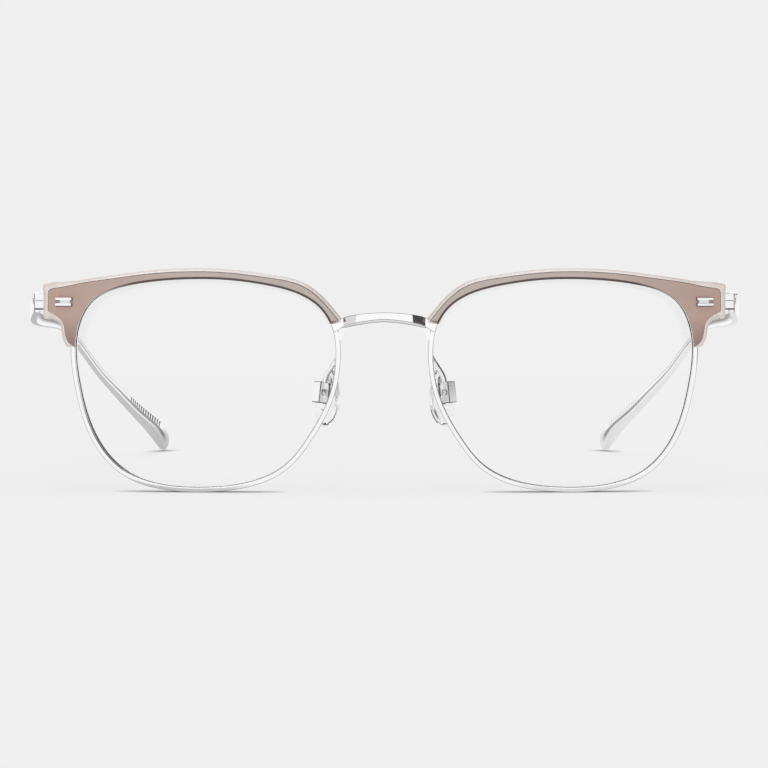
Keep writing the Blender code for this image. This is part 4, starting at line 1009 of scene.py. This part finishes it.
def bridge(sizes):
    """The arch: a five-sided section whose top, foot and lean the bridge's table gives.

    Its front stands forward in the middle, falls back at a slope, and ends flat on the rim. A
    fillet under each end is an outline with one quadratic curve, carried back. The outline runs
    clockwise, so its front and back edges flare out. Painted shade is 1 along the arris at the
    arch's foot and along the flare, and a little lower on the other front edges: dark lines that
    stand in for shade and reflection there.
    """
    half_bridge, last = BRIDGE_WIDTH / 2, len(BRIDGE_ROW_SHARES) - 1
    curve = spline(np.array(BRIDGE_ROW_SHARES)
                   * (half_bridge, HALF_HEIGHT, HALF_HEIGHT, half_bridge, BRIDGE_CHAMFER))
    row = np.linspace(-last, last, 2 * last * BRIDGE_STEPS + 1)
    out, top, foot, lean, chamfer = curve(np.abs(row)).T
    seat = front_point(np.maximum(out, half_bridge * BRIDGE_LAP_SHARE) - LENS_X, top, WALL_BACK)
    back = seat[:, 1] - BRIDGE_FORWARD * np.maximum(0.0, 1 - (out / half_bridge) ** 2)
    start, end = BRIDGE_FALL_SHARES
    fallen = np.clip((out / half_bridge - start) / (end - start), 0, 1) ** BRIDGE_FALL_POWER
    front = (seat[:, 1] - BRIDGE_END_THICKNESS
             - (BRIDGE_FORWARD + BRIDGE_THICKNESS - BRIDGE_END_THICKNESS) * (1 - fallen))
    low, high = np.copysign(out - lean, row), np.copysign(out + lean, row)
    rings = np.stack([np.stack(corner, -1) for corner in (
        (high, back, top), (high, front + BRIDGE_LEAN, top), (low, front, foot + chamfer),
        (low, front + chamfer, foot), (low, back, foot))], 1)
    radii = np.array((BRIDGE_SMALL_EDGE, sizes.bridge_edge, BRIDGE_SMALL_EDGE,
                      BRIDGE_FOOT_EDGE, BRIDGE_SMALL_EDGE))
    steps = CORNER_STEPS
    rings = eased_ends(eased(rings, radii, steps))
    # Painted shade along the front edges and the foot's arris
    oxide = np.repeat((0.0, 0.75, 0.8, 1.0, 0.0), steps)
    oxide[[2 * steps - 1, 2 * steps, 3 * steps - 1, 3 * steps]] = 0
    shells, marks = [skin(rings)], [np.tile(oxide, len(rings))]

    t = np.linspace(0, 1, FILLET_POINTS)[:, None]
    first, middle, second = np.array(FILLET_CURVE)
    bend = first * (1 - t) ** 2 + middle * 2 * t * (1 - t) + second * t**2
    outline = np.concatenate((bend, FILLET_CORNERS))
    depth = face_depth(FILLET_CORNERS[-1][0] - LENS_X, FILLET_CORNERS[-1][1])
    levels = edge_levels(depth - WIRE_DEPTH / 2, depth + WIRE_DEPTH / 4, FILLET_FLARE)
    for side in (1, -1):
        fillet = block(outline, 0.00002, levels,
                       lambda local: local[..., (0, 2, 1)] * (side, 1, 1),
                       FILLET_CORNER_STEPS)
        shells.append(skin(fillet))
        marks.append(np.repeat((0, 1, 1, 0, 0, 0), fillet.shape[1]))
    return shells, {"oxide": np.concatenate(marks)}


def axes_along(axis):
    """A unit axis and two directions across it."""
    axis = unit(np.asarray(axis, float))
    across = unit(np.cross(axis, (0, 0, 1) if abs(axis[2]) < 0.9 else (0, 1, 0)))
    return axis, across, np.cross(axis, across)


def turned(start, axis, profile):
    """A turned piece: a profile of lengths and radii carried round an axis."""
    axis, across, up = axes_along(axis)
    turn = np.linspace(0, 2 * math.pi, ROUND_SIDES, endpoint=False)[:, None]
    ring = np.cos(turn) * across + np.sin(turn) * up
    lengths, radii = np.array(profile, float).T[:, :, None, None]
    return skin(np.asarray(start) + lengths * axis + radii * ring)


def screw_head(seat, axis, radius, height, slot):
    """A domed head with a straight slot.

    Its top is a grid over a disc: columns stand at set distances from the slot, and points run
    along each chord. The columns over the slot are sunk.
    """
    axis, across, up = axes_along(axis)
    edge = slot / 2
    side = radius * np.sin(np.linspace(0.495 * math.pi, 0.12, HEAD_COLUMNS))
    side = np.concatenate((side, (edge,)))
    distance = np.concatenate((-side, (-edge * 0.98, edge * 0.98), side[::-1]))
    sunk = np.zeros(len(distance), bool)
    sunk[len(side):len(side) + 2] = True
    share = np.linspace(-1, 1, CHORD_POINTS)
    chord = np.sqrt(np.maximum(radius**2 - distance**2, 0))
    x, y = np.broadcast_arrays(distance[:, None], chord[:, None] * share)
    dome = height * (1 - HEAD_FALL_SHARE * (x**2 + y**2) / radius**2)
    rise = np.where(sunk[:, None], height * SLOT_FLOOR_SHARE, dome)
    top = np.asarray(seat) + x[..., None] * across + y[..., None] * up + rise[..., None] * axis
    rows, columns = top.shape[:2]
    number = np.arange(rows * columns).reshape(rows, columns)
    faces = np.stack((number[:-1, :-1], number[:-1, 1:], number[1:, 1:], number[1:, :-1]),
                     -1).reshape(-1, 4).tolist()
    border = np.concatenate((number[:, 0], number[-1, 1:], number[-2::-1, -1], number[0, -2:0:-1]))
    points = top.reshape(-1, 3)
    foot = points[border] - rise.reshape(-1, 1)[border] * axis
    base = np.arange(len(border)) + len(points)
    turn = np.roll(np.arange(len(border)), -1)
    faces += np.stack((border[turn], border, base, base[turn]), -1).tolist()
    faces.append(base.tolist())
    return np.concatenate((points, foot)), faces


def end_blocks(sizes):
    """The two closing blocks: an angled bar that turns back at its outer end, split level.

    The inner ends follow the rim, so each has its own place at the block's foot and top. Painted
    shade is high along the front arris and below the foot's step, and lower in the split, where
    shade falls between the blocks.
    """
    made = []
    for foot, top, ends in END_BLOCKS:
        levels = np.array(edge_levels(foot, top, sizes.block_edge))
        if foot < CLOSING_FOOT:
            step = ((CLOSING_FOOT - CLOSING_STEP, 0), (CLOSING_FOOT + CLOSING_STEP, 0))
            levels = np.concatenate((levels[:3], step, levels[3:]))
        share = ((levels[:, 0] - foot) / (top - foot))[:, None]
        (front_foot, back_foot), (front_top, back_top) = np.array(ends)
        corners = np.repeat(np.array(END_PLAN)[None], len(levels), 0)
        corners[:, 0] = front_foot + (front_top - front_foot) * share
        corners[:, -1] = back_foot + (back_top - back_foot) * share
        steps = CORNER_STEPS
        rings = block(corners, END_PLAN_EDGES, levels, lambda local: local, steps)
        oxide = np.zeros(rings.shape[:2])
        # Painted shade along the front arris, in the split and below the foot's step
        oxide[:, 2 * steps + 1:3 * steps - 1] = 0.9
        oxide[abs(levels[:, 0] - END_SPLIT) < sizes.block_edge] = 0.4
        oxide[levels[:, 0] < CLOSING_FOOT] = 0.9
        made.append(([skin(rings)], {"oxide": oxide.ravel()}))
    return made


def closing_screw(sizes):
    """Head under the lower block and shank up through both."""
    x, y = CLOSING_PLACE
    seat = (x, y, CLOSING_FOOT - JOIN_GAP)
    length_up = CLOSING_TOP - CLOSING_FOOT + JOIN_GAP
    return [
        screw_head(seat, (0, 0, -1), CLOSING_HEAD_RADIUS, CLOSING_HEAD_HEIGHT, sizes.slot_width),
        turned(seat, (0, 0, 1), ((0, CLOSING_SCREW_RADIUS), (length_up, CLOSING_SCREW_RADIUS))),
    ], {}


def hinge_screw(sizes):
    """Head on the top knuckle and shank down through all three."""
    x, y, z = HINGE_AXIS
    seat = (x, y, z + HINGE_HEIGHT / 2 + JOIN_GAP)
    length_down = HINGE_HEIGHT + 2 * JOIN_GAP
    return [
        screw_head(seat, (0, 0, 1), HINGE_HEAD_RADIUS, HINGE_HEAD_HEIGHT - JOIN_GAP,
                   sizes.slot_width),
        turned(seat, (0, 0, -1), ((0, HINGE_SCREW_RADIUS), (length_down, HINGE_SCREW_RADIUS))),
    ], {}


TEMPLE_TABLE = np.array(TEMPLE_ROW_SHARES)
TEMPLE_LAST = len(TEMPLE_TABLE) - 1


def temple_path():
    """The temple's centre line, height, thickness and lean through its table rows."""
    reach, inward, drop, height, thickness, lean = TEMPLE_TABLE.T
    tall, thick = height * TEMPLE_HEIGHT, thickness * TEMPLE_THICKNESS
    return spline(np.stack((
        TEMPLE_OUTER - inward * TEMPLE_INWARD - thick / 2,
        TEMPLE_FRONT + reach * TEMPLE_REACH,
        TEMPLE_TOP - TEMPLE_FALL * drop + tall / 2, tall, thick, lean * TEMPLE_THICKNESS), -1))


def temple(sizes):
    """The temple: a rounded section carried along its path, with grooves near the tip.

    The inner face swells a little between its edges, and its upper half is cut back where a
    groove runs. The last rings shrink to a blunt, rounded tip. A soft line of painted reflection
    runs along the lower half of the inner face.
    """
    path = temple_path()
    dense = np.linspace(0, TEMPLE_LAST, TEMPLE_LAST * 64 + 1)
    start = TEMPLE_FRONT + RIB_START_SHARE * TEMPLE_REACH
    share, deep = np.array(RIB_PROFILE_SHARES).T
    number = np.arange(RIB_COUNT)[:, None]
    notch_depths = (start + (number + share) * RIB_PITCH).ravel()
    notch_rows = np.interp(notch_depths, path(dense)[:, 1], dense)
    notch_cuts = np.tile(deep, RIB_COUNT) * sizes.rib_depth
    plain = np.linspace(0, TEMPLE_LAST, TEMPLE_LAST * TEMPLE_STEPS + 1)
    plain = plain[(plain < notch_rows[0] - RIB_CLEAR_ROWS)
                  | (plain > notch_rows[-1] + RIB_CLEAR_ROWS)]
    row = np.concatenate((plain, notch_rows))
    order = np.argsort(row)
    row, cut = row[order], np.concatenate((np.zeros(len(plain)), notch_cuts))[order]

    values = path(row)
    centre, tall, thick, lean = values[:, :3], values[:, 3], values[:, 4], values[:, 5]
    along = unit((path(row + TANGENT_STEP) - path(row - TANGENT_STEP))[:, :3])
    side = unit(np.cross(along, (0, 0, 1)))
    up = np.cross(side, along)
    side[0], up[0] = (1, 0, 0), (0, 0, 1)
    half_tall, half_thick = tall * up[:, 2] / 2, thick / 2
    crown = np.minimum(sizes.temple_crown, half_thick * 0.2)
    heights, grooved = np.array(TEMPLE_INNER_HEIGHTS), np.array(TEMPLE_GROOVED)
    inner = -half_thick[:, None] - crown[:, None] * (1 - heights**2) + cut[:, None] * grooved
    outer_heights = np.array(TEMPLE_OUTER_HEIGHTS)
    outer = half_thick[:, None] + 0.5 * crown[:, None] * (1 - outer_heights**2)
    heights = np.concatenate((heights, outer_heights))
    across = np.concatenate((inner, outer), 1) - lean[:, None] / 2 * heights
    rise = half_tall[:, None] * heights
    rings = centre[:, None] + side[:, None] * across[..., None] + up[:, None] * rise[..., None]
    radii = np.full(across.shape, TEMPLE_SMALL_EDGE)
    edge = np.minimum(sizes.temple_edge, np.minimum(half_tall, half_thick) * 0.7)
    radii[:, TEMPLE_LONG_EDGES] = edge[:, None]
    rings = eased(rings, radii, TEMPLE_CORNER_STEPS)
    middle, step = rings[-1].mean(0), along[-1] * half_thick[-1]
    ends = [middle + (rings[-1] - middle) * size + step * reach
            for size, reach in TEMPLE_END_RINGS]
    first = rings[0]
    start_ring = first + unit(first.mean(0) - first) * END_EASE
    rings = np.concatenate((start_ring[None], (first + along[0] * END_EASE)[None], rings[1:],
                            ends))
    # The line of painted reflection, fading out before the tip
    line = np.repeat(np.isin(np.arange(across.shape[1]), TEMPLE_PAINTED_LINE_CORNERS),
                     TEMPLE_CORNER_STEPS)
    fading = np.interp(row, (TEMPLE_LAST - 2.5, TEMPLE_LAST - 1.8), (0.85, 0))
    fading = np.concatenate((fading[:1], fading, np.zeros(len(ends))))
    return [skin(rings)], {"oxide": (fading[:, None] * line).ravel()}


PAD_ACROSS = np.array((PAD_TURN_SHARE, math.sqrt(1 - PAD_TURN_SHARE**2), 0))
PAD_NOSE = unit(np.cross((-PAD_LEAN_SHARE, 0, 1), PAD_ACROSS))
PAD_UP = unit(np.cross(PAD_ACROSS, PAD_NOSE))
PAD_AT = np.array((PAD_SPREAD, PAD_SETBACK, -PAD_PIVOT_DROP))
SLOT_HALF = LUG_WIDTH / 2 + BOX_PLAY
BOX_HALF = SLOT_HALF + BOX_CHEEK
BOX_BACK = SLOT_HALF + BOX_WEB
BOX_REACH = PAD_SCREW_RADIUS + JOIN_GAP + BOX_CHEEK_WALL
INSERT_SEAT = BOX_REACH + BOX_HEIGHT / 2 * math.sin(PAD_ROCK) + BOX_PLAY


def pad_point(across, nose, up):
    """Points at distances across the pad, toward the nose and up along the pad."""
    across, nose, up = np.broadcast_arrays(across, nose, up)
    return (PAD_AT + PAD_ACROSS * across[..., None] + PAD_NOSE * nose[..., None]
            + PAD_UP * up[..., None])


def pad_box(sizes):
    """A channel: a web and two cheeks, drawn as one outline and raised.

    Painted shade is 1 along one edge of the web, and round the channel's ends, where the channel's
    shadow falls.
    """
    corners = ((-BOX_HALF, -BOX_BACK), (BOX_HALF, -BOX_BACK), (BOX_HALF, BOX_REACH),
               (SLOT_HALF, BOX_REACH), (SLOT_HALF, -SLOT_HALF), (-SLOT_HALF, -SLOT_HALF),
               (-SLOT_HALF, BOX_REACH), (-BOX_HALF, BOX_REACH))
    radii = np.full(8, BOX_SLOT_EDGE)
    radii[:2] = sizes.box_edge
    levels = edge_levels(-BOX_HEIGHT / 2, BOX_HEIGHT / 2, sizes.box_edge)
    rings = block(corners, radii, levels,
                  lambda local: pad_point(local[..., 0], local[..., 1], local[..., 2]))
    oxide = np.zeros(rings.shape[:2])
    # Painted shade along the web's edge and round the ends
    oxide[:, 1:CORNER_STEPS - 1] = 1.0
    oxide[[0, 1, -2, -1]] = 1.0
    return [skin(rings)], {"oxide": oxide.ravel()}


def pad_screw(sizes):
    """The screw that the pad rocks on, its slotted head on the front cheek."""
    seat = pad_point(-BOX_HALF - JOIN_GAP, 0, 0)
    reach = 2 * BOX_HALF + JOIN_GAP
    return [
        screw_head(seat, -PAD_ACROSS, PAD_SCREW_HEAD_RADIUS, PAD_SCREW_HEAD_HEIGHT,
                   sizes.slot_width * PAD_SLOT_SHARE),
        turned(seat, PAD_ACROSS, ((0, PAD_SCREW_RADIUS), (reach, PAD_SCREW_RADIUS),
                                  (reach + PAD_SCREW_POINT, PAD_SCREW_RADIUS * PAD_POINT_SHARE))),
    ], {}


def pad_insert():
    """The lug between the cheeks, and the oval plate that the silicone is moulded on."""
    half = LUG_WIDTH / 2
    ups = np.array((-LUG_HEIGHT, LUG_HEIGHT))[:, None] / 2
    lug = skin(pad_point(np.array((-half, half, half, -half)),
                         np.array((-half, -half, INSERT_SEAT, INSERT_SEAT)), ups))
    turn = np.linspace(0, 2 * math.pi, PAD_SIDES, endpoint=False)
    size, depth = np.array(INSERT_RINGS).T[:, :, None]
    depth = depth * INSERT_THICKNESS + INSERT_SEAT
    plate = skin(pad_point(np.cos(turn) * size * INSERT_WIDTH / 2, depth,
                           np.sin(turn) * size * INSERT_HEIGHT / 2))
    return [lug, plate], {}


def nose_pad():
    """The silicone pad: an oval, wider at its foot, whose rings follow a cushion's profile."""
    turn = np.linspace(0, 2 * math.pi, PAD_SIDES, endpoint=False)
    size, depth = np.array(PAD_PROFILE_SHARES).T[:, :, None]
    x, y = np.cos(turn), np.sin(turn)
    start = INSERT_SEAT + INSERT_THICKNESS + JOIN_GAP / 5
    wide = PAD_WIDTH / 2 * (1 - PAD_TAPER_SHARE * y) * size
    rings = pad_point(x * wide + PAD_SIDESTEP, start + depth * PAD_THICKNESS,
                      y * PAD_HEIGHT / 2 * size - PAD_DROP_BELOW_PIVOT)
    depths = np.array((PAD_PROFILE_SHARES[0][1], PAD_PROFILE_SHARES[-1][1])) * PAD_THICKNESS
    poles = pad_point(PAD_SIDESTEP, start + depths, -PAD_DROP_BELOW_PIVOT)
    return [skin(rings, poles=poles)], {}


def pad_arm(side):
    """The guard arm: a round wire that leaves the rim backwards and turns down to the box.

    Painted reflection darkens its +X flank, on both sides, as if the plating mirrored a dark wall
    there.
    """
    foot = pad_point(-(SLOT_HALF + BOX_HALF) / 2, 0, BOX_HEIGHT / 2 - JOIN_GAP)
    root = rim_point(ARM_KNOT, WIRE_WIDTH / 2, WIRE_DEPTH / 2 - JOIN_GAP)
    back = np.array((0, ARM_LOOP, 0))
    middle = (root + back + foot) / 2 + back / 2 + PAD_UP * ARM_RADIUS
    route = spline([root, root + back, middle, foot + PAD_UP * ARM_CLIMB / 2, foot])
    row = np.linspace(0, 4, ARM_STEPS)
    along = unit(route(row + TANGENT_STEP) - route(row - TANGENT_STEP))
    across = unit(np.array((1.0, 0, 0)) - along * along[:, :1])
    other = np.cross(along, across)
    turn = np.linspace(0, 2 * math.pi, ARM_SIDES, endpoint=False)[:, None]
    ring = np.cos(turn) * across[:, None] + np.sin(turn) * other[:, None]
    # Painted reflection: dark on the +X flank of both arms
    painted_reflection = np.clip(1.5 * (side * np.cos(turn[:, 0]) - 0.2), 0, 0.9)
    return [skin(route(row)[:, None] + ring * ARM_RADIUS)], {"oxide": np.tile(painted_reflection, ARM_STEPS)}


def light_world(scene, colours, fill):
    """A white studio: what it lights, what the metal shows of it, and the plain backdrop.

    Matt surfaces get more light from the front than from behind. The metal sees a white front, a
    dark ring round it (darkest at +X), and white walls behind, but for a dark corner high up at
    +X and a grey patch straight behind. What clear pieces bend far aside is darker too.
    """
    world = bpy.data.worlds.new("white_studio")
    world.use_nodes = True
    world.cycles.sampling_method = "NONE"
    tree = world.node_tree
    path = add_node(tree, "ShaderNodeLightPath").outputs
    way = add_node(tree, "ShaderNodeTexCoord").outputs["Generated"]
    axes = add_node(tree, "ShaderNodeSeparateXYZ", {"Vector": way}).outputs
    # Each ramp: what it follows, from where to where, and its value at each
    ramps = {}
    for name, source, start, end, low, high in (
            ("ring_front", axes["Y"], -0.75, -0.66, 0.0, 1.0),
            ("ring_back", axes["Y"], -0.08, 0.06, 1.0, 0.0),
            ("ring_side", axes["X"], -0.5, 0.5, 0.75, 0.07),
            ("ring_below", axes["Z"], -0.3, -0.1, 1.0, 0.0),
            ("white", axes["Y"], -0.2, 0.4, 1.05, 0.92),
            ("patch", axes["Y"], 0.965, 0.992, 1.0, 0.55),
            ("corner_side", axes["X"], 0.08, 0.3, 0.0, 1.0),
            ("corner_back", axes["Y"], -0.1, 0.1, 0.0, 1.0),
            ("corner_high", axes["Z"], 0.06, 0.25, 0.0, 1.0),
            ("direct", path["Diffuse Depth"], 0.4, 0.6, 1.0, 0.0),
            ("mirrored", path["Glossy Depth"], 0.4, 0.6, 0.0, 1.0),
            ("bent", axes["Y"], 0.2, 0.6, 0.5, 1.0)):
        ramps[name] = add_node(tree, "ShaderNodeMapRange", {
            "Value": source, "From Min": start, "From Max": end, "To Min": low, "To Max": high},
            interpolation_type="SMOOTHSTEP").outputs["Result"]

    # What the metal shows
    ring = add_node(tree, "ShaderNodeMath", {
        0: ramps["ring_front"], 1: ramps["ring_back"]}, operation="MULTIPLY")
    dark = add_node(tree, "ShaderNodeMix", {0: ramps["ring_below"], 2: ramps["ring_side"], 3: 0.6})
    ringed = add_node(tree, "ShaderNodeMix", {
        0: ring.outputs[0], 2: ramps["white"], 3: dark.outputs[0]})
    patched = add_node(tree, "ShaderNodeMath", {
        0: ringed.outputs[0], 1: ramps["patch"]}, operation="MULTIPLY")
    high_back = add_node(tree, "ShaderNodeMath", {
        0: ramps["corner_back"], 1: ramps["corner_high"]}, operation="MULTIPLY")
    corner = add_node(tree, "ShaderNodeMath", {
        0: ramps["corner_side"], 1: high_back.outputs[0]}, operation="MULTIPLY")
    cornered = add_node(tree, "ShaderNodeMix", {0: corner.outputs[0], 2: 1.0, 3: 0.1})
    level = add_node(tree, "ShaderNodeMath", {
        0: patched.outputs[0], 1: cornered.outputs[0]}, operation="MULTIPLY")

    # What lights matt surfaces
    lit = add_node(tree, "ShaderNodeMapRange", {
        "Value": axes["Y"], "From Min": -1.0, "From Max": 1.0, "To Min": fill * 1.6,
        "To Max": fill * 0.4})
    in_metal = add_node(tree, "ShaderNodeMath", {
        0: ramps["mirrored"], 1: ramps["direct"]}, operation="MULTIPLY")
    light = add_node(tree, "ShaderNodeMix", {
        0: in_metal.outputs[0], 2: lit.outputs["Result"], 3: level.outputs[0]})

    # The backdrop, seen by the camera and through clear pieces
    clear = add_node(tree, "ShaderNodeMix", {0: ramps["mirrored"], 2: ramps["direct"], 3: 0.0})
    through = add_node(tree, "ShaderNodeMath", {
        0: path["Is Transmission Ray"], 1: clear.outputs[0]}, operation="MULTIPLY").outputs[0]
    seen = add_node(tree, "ShaderNodeMath", {
        0: path["Is Camera Ray"], 1: through}, operation="MAXIMUM")
    shown = add_node(tree, "ShaderNodeMix", {
        0: seen.outputs[0], 6: light.outputs[0], 7: colours.backdrop}, data_type="RGBA")
    strength = add_node(tree, "ShaderNodeMix", {0: through, 2: 1.0, 3: ramps["bent"]})
    tree.links.new(shown.outputs[2], tree.nodes["Background"].inputs["Color"])
    tree.links.new(strength.outputs[0], tree.nodes["Background"].inputs["Strength"])
    scene.world = world


class BuildStage(bpy.types.Operator):
    """Add the floor, the soft light and the camera"""

    bl_idname = "eyeglass.stage"
    bl_label = "Stage"

    def execute(self, context):
        colours = context.scene.eyeglass_colours
        reach = FLOOR_REACH
        mesh = bpy.data.meshes.new("floor")
        mesh.from_pydata([(-reach, -reach, 0), (reach, -reach, 0), (reach, reach, 0),
                          (-reach, reach, 0)], [], [(0, 1, 2, 3)])
        mesh.materials.append(finish("paper_sweep"))
        floor = bpy.data.objects.new("floor", mesh)
        context.scene.collection.objects.link(floor)

        lamp = bpy.data.lights.new("overhead_softbox", "SUN")
        lamp.energy = math.pi * TOP_LIGHT_SHARE
        lamp.angle = TOP_LIGHT_SPREAD
        holder = bpy.data.objects.new("overhead_softbox", lamp)
        context.scene.collection.objects.link(holder)
        light_world(context.scene, colours, 1 - TOP_LIGHT_SHARE)

        camera = bpy.data.cameras.new("camera")
        camera.lens, camera.sensor_width = CAMERA_LENS, CAMERA_SENSOR
        camera.clip_start, camera.clip_end = 0.01, 500.0
        eye = bpy.data.objects.new("camera", camera)
        eye.location = CAMERA_PLACE
        eye.rotation_euler = (CAMERA_TILT, 0, 0)
        context.scene.collection.objects.link(eye)
        context.scene.camera = eye
        context.scene.view_settings.view_transform = "Standard"
        return {"FINISHED"}


class BuildWires(bpy.types.Operator):
    """Add the two eye wires and the bridge"""

    bl_idname = "eyeglass.wires"
    bl_label = "Eye wires and bridge"

    def execute(self, context):
        sizes = context.scene.eyeglass_sizes
        add_pair("rim", eye_wire(sizes), "polished_palladium", "eye_wire")
        add_piece("arch", bridge(sizes), finish("polished_palladium"), "front", "bridge")
        return {"FINISHED"}


class BuildLenses(bpy.types.Operator):
    """Add the two clear lenses"""

    bl_idname = "eyeglass.lenses"
    bl_label = "Lenses"

    def execute(self, context):
        add_pair("clear_lens", lens(), "plano_lens", "lens")
        return {"FINISHED"}


class BuildBrows(bpy.types.Operator):
    """Add the two laminated brow bars and their rivets"""

    bl_idname = "eyeglass.brows"
    bl_label = "Brow bars and rivets"

    def execute(self, context):
        sizes = context.scene.eyeglass_sizes
        add_pair("brow_crystal", brow_crystal(sizes), "pink_crystal", "brow_base")
        add_pair("brow_taupe", brow_taupe(sizes), "laminated_taupe", "brow_face")
        add_pair("rivet", rivet(), "polished_palladium", "brow_rivet")
        return {"FINISHED"}


class BuildEndPieces(bpy.types.Operator):
    """Finish the closing blocks and hinges, and add their screws"""

    bl_idname = "eyeglass.end_pieces"
    bl_label = "End pieces, hinges and screws"

    def execute(self, context):
        sizes = context.scene.eyeglass_sizes
        for _, label in SIDES:
            dress(f"hinge_front_{label}", "polished_palladium")
            dress(f"hinge_temple_{label}", "polished_palladium")
        for level, made in zip(("upper", "lower"), end_blocks(sizes)):
            add_pair(f"closing_block_{level}", made, "polished_palladium",
                     f"end_block_{level}")
        add_pair("block_screw", closing_screw(sizes), "turned_steel", "closing_screw")
        add_pair("fold_screw", hinge_screw(sizes), "turned_steel", "hinge_screw")
        return {"FINISHED"}


class BuildTemples(bpy.types.Operator):
    """Add the two folding temples"""

    bl_idname = "eyeglass.temples"
    bl_label = "Temples"

    def execute(self, context):
        add_pair("side_arm", temple(context.scene.eyeglass_sizes), "drawn_palladium", "temple",
                 "temple_{}")
        return {"FINISHED"}


class BuildNosePads(bpy.types.Operator):
    """Add the guard arms, boxes, screws, inserts and silicone nose pads"""

    bl_idname = "eyeglass.nose_pads"
    bl_label = "Nose pads"

    def execute(self, context):
        sizes = context.scene.eyeglass_sizes
        for side, label in SIDES:
            add_piece(f"guard_arm_{label}", pad_arm(side), finish("polished_palladium"), "front",
                      f"pad_arm_{label}", side)
        add_pair("guard_box", pad_box(sizes), "polished_palladium", "pad_box")
        add_pair("guard_screw", pad_screw(sizes), "turned_steel", "pad_screw")
        add_pair("insert", pad_insert(), "polished_palladium", "pad_insert",
                 "nose_pad_{}")
        for cushion in add_pair("silicone_pad", nose_pad(), "moulded_silicone", "nose_pad",
                                "nose_pad_{}"):
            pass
        return {"FINISHED"}


class EyeglassPanel(bpy.types.Panel):
    """Buttons for the pieces, and their sizes and colours"""

    bl_idname = "VIEW3D_PT_eyeglass"
    bl_label = "Eyeglass frame"
    bl_space_type = "VIEW_3D"
    bl_region_type = "UI"
    bl_category = "Eyeglass frame"

    def draw(self, context):
        layout = self.layout
        for operator in OPERATORS:
            layout.operator(operator.bl_idname)
        for group in (context.scene.eyeglass_sizes, context.scene.eyeglass_colours):
            box = layout.box()
            for name in group.__annotations__:
                box.prop(group, name)


OPERATORS = (BuildStage, BuildWires, BuildLenses, BuildBrows, BuildEndPieces, BuildTemples,
             BuildNosePads)
CLASSES = (EyeglassSizes, EyeglassColours, *OPERATORS, EyeglassPanel)


def register():
    for kind in CLASSES:
        bpy.utils.register_class(kind)
    bpy.types.Scene.eyeglass_sizes = bpy.props.PointerProperty(type=EyeglassSizes)
    bpy.types.Scene.eyeglass_colours = bpy.props.PointerProperty(type=EyeglassColours)


def unregister():
    del bpy.types.Scene.eyeglass_colours
    del bpy.types.Scene.eyeglass_sizes
    for kind in reversed(CLASSES):
        bpy.utils.unregister_class(kind)


def main():
    register()
    for name in ("Cube", "Light", "Camera"):
        if name in bpy.data.objects:
            bpy.data.objects.remove(bpy.data.objects[name])
    bpy.ops.eyeglass.stage()
    bpy.ops.eyeglass.wires()
    bpy.ops.eyeglass.lenses()
    bpy.ops.eyeglass.brows()
    bpy.ops.eyeglass.end_pieces()
    bpy.ops.eyeglass.temples()
    bpy.ops.eyeglass.nose_pads()
    bpy.context.view_layer.update()


if __name__ == "__main__":
    main()
